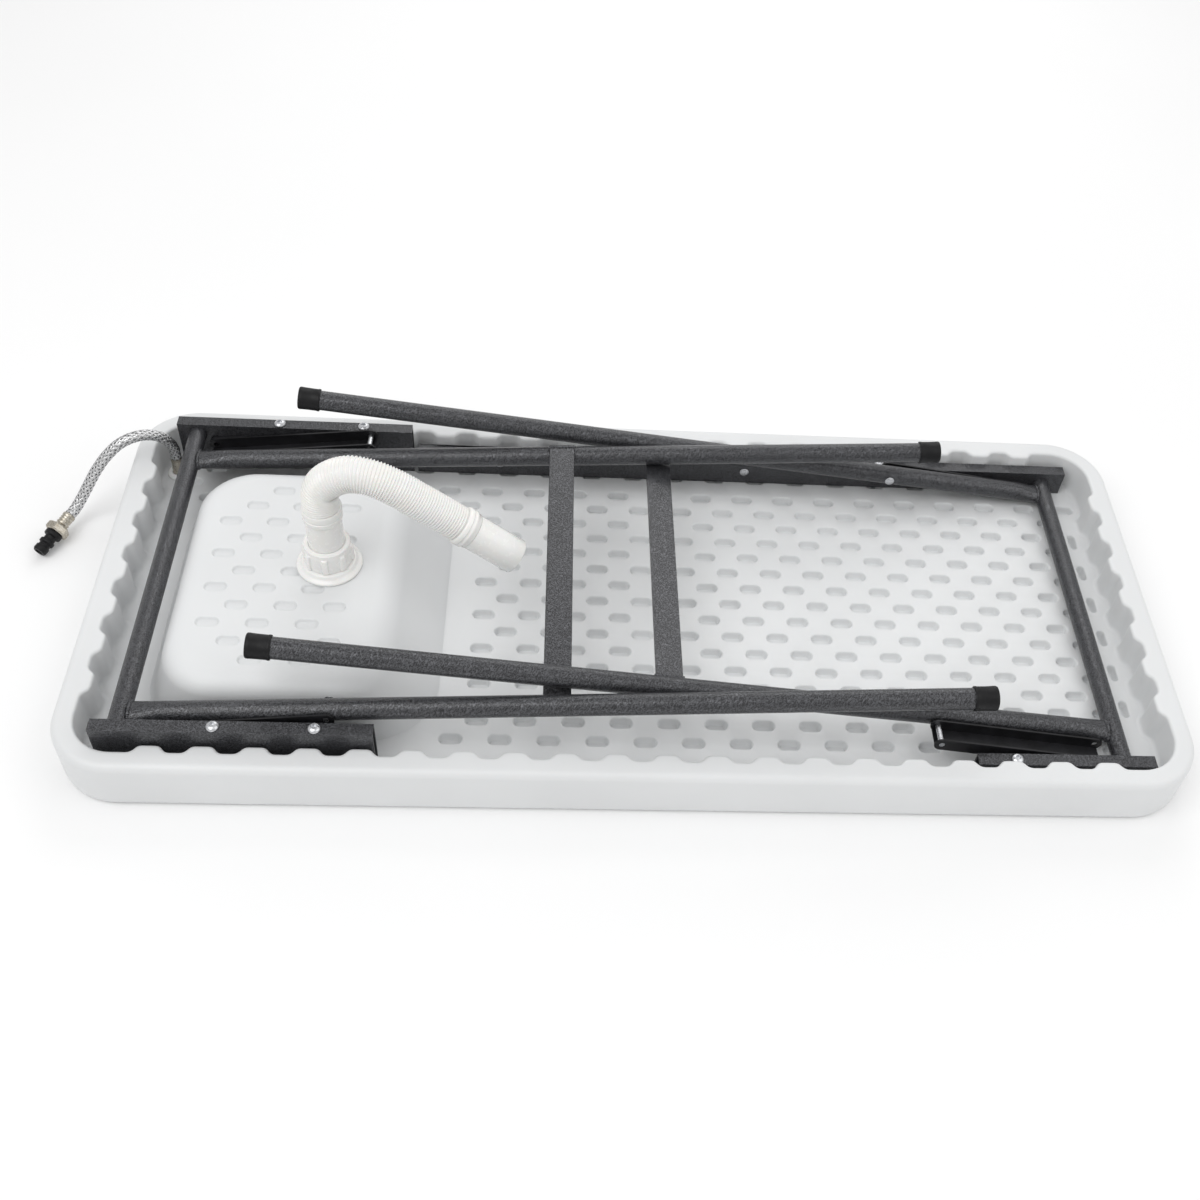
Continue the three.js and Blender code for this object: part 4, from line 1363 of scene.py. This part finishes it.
    def cuff(self, end, way):
        """The stepped collar and the plain cuff at the free end of the hose."""
        r, collar_long, cuff_long = DRAIN_RADIUS, 15, 56
        start = end + way * FIT_GAP
        profile = [
            (r - 3, 0), (r + 0.6, 0), (r + 1.6, 0.8), (r + 2.2, 2), (r + 2.2, 5), (r + 1.2, 5.8),
            (r + 1.2, 7), (r + 2, 7.8), (r + 2, 10), (r + 0.6, 11.4), (r + 0.6, 14.2),
            (r, collar_long), (r - 3, collar_long), (r - 3, 0),
        ]
        collar = turned_part("drain_collar", profile, start, way, "drain_plastic", 72, 45.0)
        start = start + way * (collar_long * MM + FIT_GAP)
        profile = [
            (r - 2.4, 0), (r, 0), (r, cuff_long / 2), (r, cuff_long - 1.2), (r - 0.5, cuff_long - 0.3),
            (r - 1.2, cuff_long), (r - 1.9, cuff_long - 0.3), (r - 2.4, cuff_long - 1), (r - 2.4, 0),
        ]
        cuff = turned_part("drain_cuff", profile, start, way, "drain_plastic", 72, 50.0)
        return [collar, cuff]


# ------------------------------------------------------------------ water inlet
SUPPLY_ROUTE = [
    (-0.534, 0.192, 0.0446), (-0.534, 0.192, 0.058), (-0.537, 0.187, 0.074), (-0.546, 0.180, 0.088),
    (-0.561, 0.171, 0.095), (-0.579, 0.162, 0.092), (-0.595, 0.154, 0.080), (-0.609, 0.147, 0.063),
    (-0.620, 0.140, 0.046), (-0.6295, 0.133, 0.031), (-0.6364, 0.1248, 0.0221), (-0.641, 0.116, 0.020),
]
CONNECTOR_WAY = Vector((-0.45, -0.87, -0.2)).normalized()
HOSE_RADIUS = 6.4 * MM


def braided_skin(path, radius, wire, lay, bundles):
    """Points and faces of a hose core wrapped in two sets of wire bundles that cross."""
    frames = path_frames(path)
    points, faces = [], []

    def add_strand(rings):
        more, skin, numbers = lofted(rings)
        shift = len(points)
        ends = [tuple(numbers[0]), tuple(numbers[-1])]
        points.extend(more)
        faces.extend(tuple(i + shift for i in face) for face in skin + ends)

    core = radius - 2.1 * wire
    add_strand([
        [p + (u * math.cos(spin) + v * math.sin(spin)) * core for spin in spins(28)] for p, u, v in frames
    ])
    step = path_length(path) / (len(path) - 1)
    for way in (1, -1):
        for bundle in range(bundles):
            rings = []
            for i, (p, u, v) in enumerate(frames):
                spin = way * TURN * i * step / lay + TURN * bundle / bundles
                over = radius - wire * (0.95 + 0.25 * way * math.cos(bundles * spin))
                out = u * math.cos(spin) + v * math.sin(spin)
                side = v * math.cos(spin) - u * math.sin(spin)
                centre = p + out * over
                rings.append([
                    centre + side * wire * 1.5 * math.cos(a) + out * wire * 0.7 * math.sin(a)
                    for a in spins(6)
                ])
            add_strand(rings)
    return points, faces


class SINK_OT_inlet(bpy.types.Operator):
    """Build the grommet, ferrules, braided hose, hex nut and quick connector"""

    bl_idname = "sink_table.inlet"
    bl_label = "Water inlet"

    def execute(self, context):
        """Builds the braided hose and what is on it."""
        settings = context.scene.sink_inlet
        path = smooth_path(SUPPLY_ROUTE, 1.4 * MM)
        points, faces = braided_skin(path, HOSE_RADIUS, settings.wire, settings.lay, settings.bundles)
        hose = solid("supply_hose_finished", points, faces, "braid_wire", 70.0)
        place(hose, "table", "braid_wire", "supply_hose")
        self.corner_fittings()
        self.end_fittings(path[-1])
        return {"FINISHED"}

    def corner_fittings(self):
        """The grommet in the tray's corner and the long ferrule that stands in it."""
        low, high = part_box("inlet_grommet")
        bore, flange_high = 7.4, 5.4
        seat = Vector(((low.x + high.x) / 2, (low.y + high.y) / 2, high.z - flange_high * MM))
        ring = [
            (bore, -14), (8.7, -14), (8.7, 0.3), (12.8, 0.3), (13.2, 0.8), (13.2, 3), (12.6, 4.4),
            (11.2, flange_high), (8.2, flange_high), (bore, 4.8), (bore, -14),
        ]
        turned_part("inlet_grommet", ring, seat, UP, "drain_plastic", 56, 45.0)
        r = extent("inlet_ferrule").x / 2
        foot = Vector((seat.x, seat.y, foot_of("inlet_ferrule").z))
        sleeve = [
            (0, 0), (r, 0), (r, 24), (r - 0.5, 26), (r - 0.5, 30), (r - 0.9, 31), (r - 0.5, 32),
            (r - 0.5, 38.6), (r - 1, 39.6), (0, 40),
        ]
        turned_part("inlet_ferrule", sleeve, foot, UP, "nickel_brass", 40, 40.0)

    def end_fittings(self, end):
        """The crimped ferrule, hex nut and quick connector at the free end."""
        crimp = [(0, 0), (6.8, 0), (7.2, 0.5), (7.2, 3)]
        for low in (3, 6, 9):
            crimp += [(6.6, low + 0.8), (6.6, low + 1.8), (7.2, low + 2.6)]
        crimp += [(7.2, 13), (5.6, 15), (0, 15)]
        start = end + CONNECTOR_WAY * FIT_GAP
        ferrule = turned_part("supply_ferrule", crimp, start, CONNECTOR_WAY, "nickel_brass", 40, 40.0)
        nut = softened_copy("supply_nut", "nickel_brass", 0.5 * MM)
        plug = [
            (0, 0), (9.2, 0), (9.6, 0.5), (9.6, 4.4), (9, 5.2), (6.6, 6.2), (6.4, 6.6), (6.4, 10.8),
            (7.9, 11.6), (8.2, 12), (8.2, 15.2), (7.9, 15.6), (6.4, 16.2), (6.4, 19.4), (7.3, 20),
            (7.6, 20.4), (7.6, 25.6), (6.4, 27.5), (4.3, 27.5), (4, 27.1), (4, 17.5), (0, 17.5),
        ]
        ferrule_and_nut = 26.2 * MM
        start = end + CONNECTOR_WAY * (ferrule_and_nut + 3 * FIT_GAP)
        connector = turned_part("quick_connector", plug, start, CONNECTOR_WAY, "black_moulding", 48, 40.0)
        return [ferrule, nut, connector]


# ------------------------------------------------------------------ stage
class SINK_OT_stage(bpy.types.Operator):
    """Set the pale floor, the soft lights and the camera"""

    bl_idname = "sink_table.stage"
    bl_label = "Stage"

    def execute(self, context):
        """Builds the floor, lights and camera."""
        settings = context.scene.sink_stage
        reach = 30.0
        corners = [(-reach, -reach, 0), (reach, -reach, 0), (reach, reach, 0), (-reach, reach, 0)]
        floor = solid("floor", corners, [(0, 1, 2, 3)], "pale_floor")
        floor.location.z = -0.2 * MM
        self.camera(context, settings)
        for name, spot, size, power in (
            ("key", (-1.3, -1.0, 2.6), 2.2, settings.key),
            ("fill", (1.9, -0.6, 2.0), 2.4, settings.key * 0.45),
            ("rim", (0.3, 2.2, 1.8), 2.0, settings.key * 0.5),
        ):
            light = bpy.data.lights.new(name, "AREA")
            light.size = size
            light.energy = power
            lamp = bpy.data.objects.new(name, light)
            lamp.location = spot
            lamp.rotation_euler = (-Vector(spot)).to_track_quat("-Z", "Y").to_euler()
            context.scene.collection.objects.link(lamp)
        world = bpy.data.worlds.new("studio")
        world.use_nodes = True
        sky = world.node_tree.nodes["Background"]
        sky.inputs["Color"].default_value = (1, 1, 1, 1)
        sky.inputs["Strength"].default_value = settings.sky
        context.scene.world = world
        context.scene.view_settings.view_transform = "Standard"
        return {"FINISHED"}

    def camera(self, context, settings):
        """The camera from its yaw, pitch and roll."""
        yaw, pitch, roll = settings.turn
        ahead = Vector((
            math.sin(yaw) * math.cos(pitch), math.cos(yaw) * math.cos(pitch), -math.sin(pitch)
        ))
        right = Vector((math.cos(yaw), -math.sin(yaw), 0))
        up = right.cross(ahead)
        side = right * math.cos(roll) + up * math.sin(roll)
        crown = up * math.cos(roll) - right * math.sin(roll)
        lens = bpy.data.cameras.new("camera")
        lens.lens = settings.focal
        lens.sensor_width = SENSOR
        lens.shift_x, lens.shift_y = settings.shift
        lens.clip_end = 100
        camera = bpy.data.objects.new("camera", lens)
        turned_to = Matrix((side, crown, -ahead)).transposed().to_4x4()
        camera.matrix_world = Matrix.Translation(settings.place) @ turned_to
        context.scene.collection.objects.link(camera)
        context.scene.camera = camera


# ------------------------------------------------------------------ panel and run
STEPS = ("stage", "inlet", "top", "channels", "legs", "braces", "drain")


class SINK_PT_panel(bpy.types.Panel):
    """Lists the steps that build the table"""

    bl_idname = "SINK_PT_panel"
    bl_label = "Sink table"
    bl_space_type = "VIEW_3D"
    bl_region_type = "UI"
    bl_category = "Sink table"

    def draw(self, context):
        """Draws one button for each step."""
        for step in STEPS:
            self.layout.operator(f"sink_table.{step}")


CLASSES = (
    TopSettings, BasinSettings, FrameSettings, DrainSettings, InletSettings, StageSettings,
    SINK_OT_stage, SINK_OT_inlet, SINK_OT_top, SINK_OT_channels, SINK_OT_legs, SINK_OT_braces,
    SINK_OT_drain, SINK_PT_panel,
)
SETTINGS = {
    "sink_top": TopSettings, "sink_basin": BasinSettings, "sink_frames": FrameSettings,
    "sink_drain": DrainSettings, "sink_inlet": InletSettings, "sink_stage": StageSettings,
}


def register():
    """Registers the classes and their settings."""
    for cls in CLASSES:
        bpy.utils.register_class(cls)
    for name, cls in SETTINGS.items():
        setattr(bpy.types.Scene, name, bpy.props.PointerProperty(type=cls))


def unregister():
    """Removes the settings and the classes."""
    for name in SETTINGS:
        delattr(bpy.types.Scene, name)
    for cls in reversed(CLASSES):
        bpy.utils.unregister_class(cls)


def main():
    """Builds every piece."""
    register()
    for step in STEPS:
        getattr(bpy.ops.sink_table, step)()


if __name__ == "__main__":
    main()
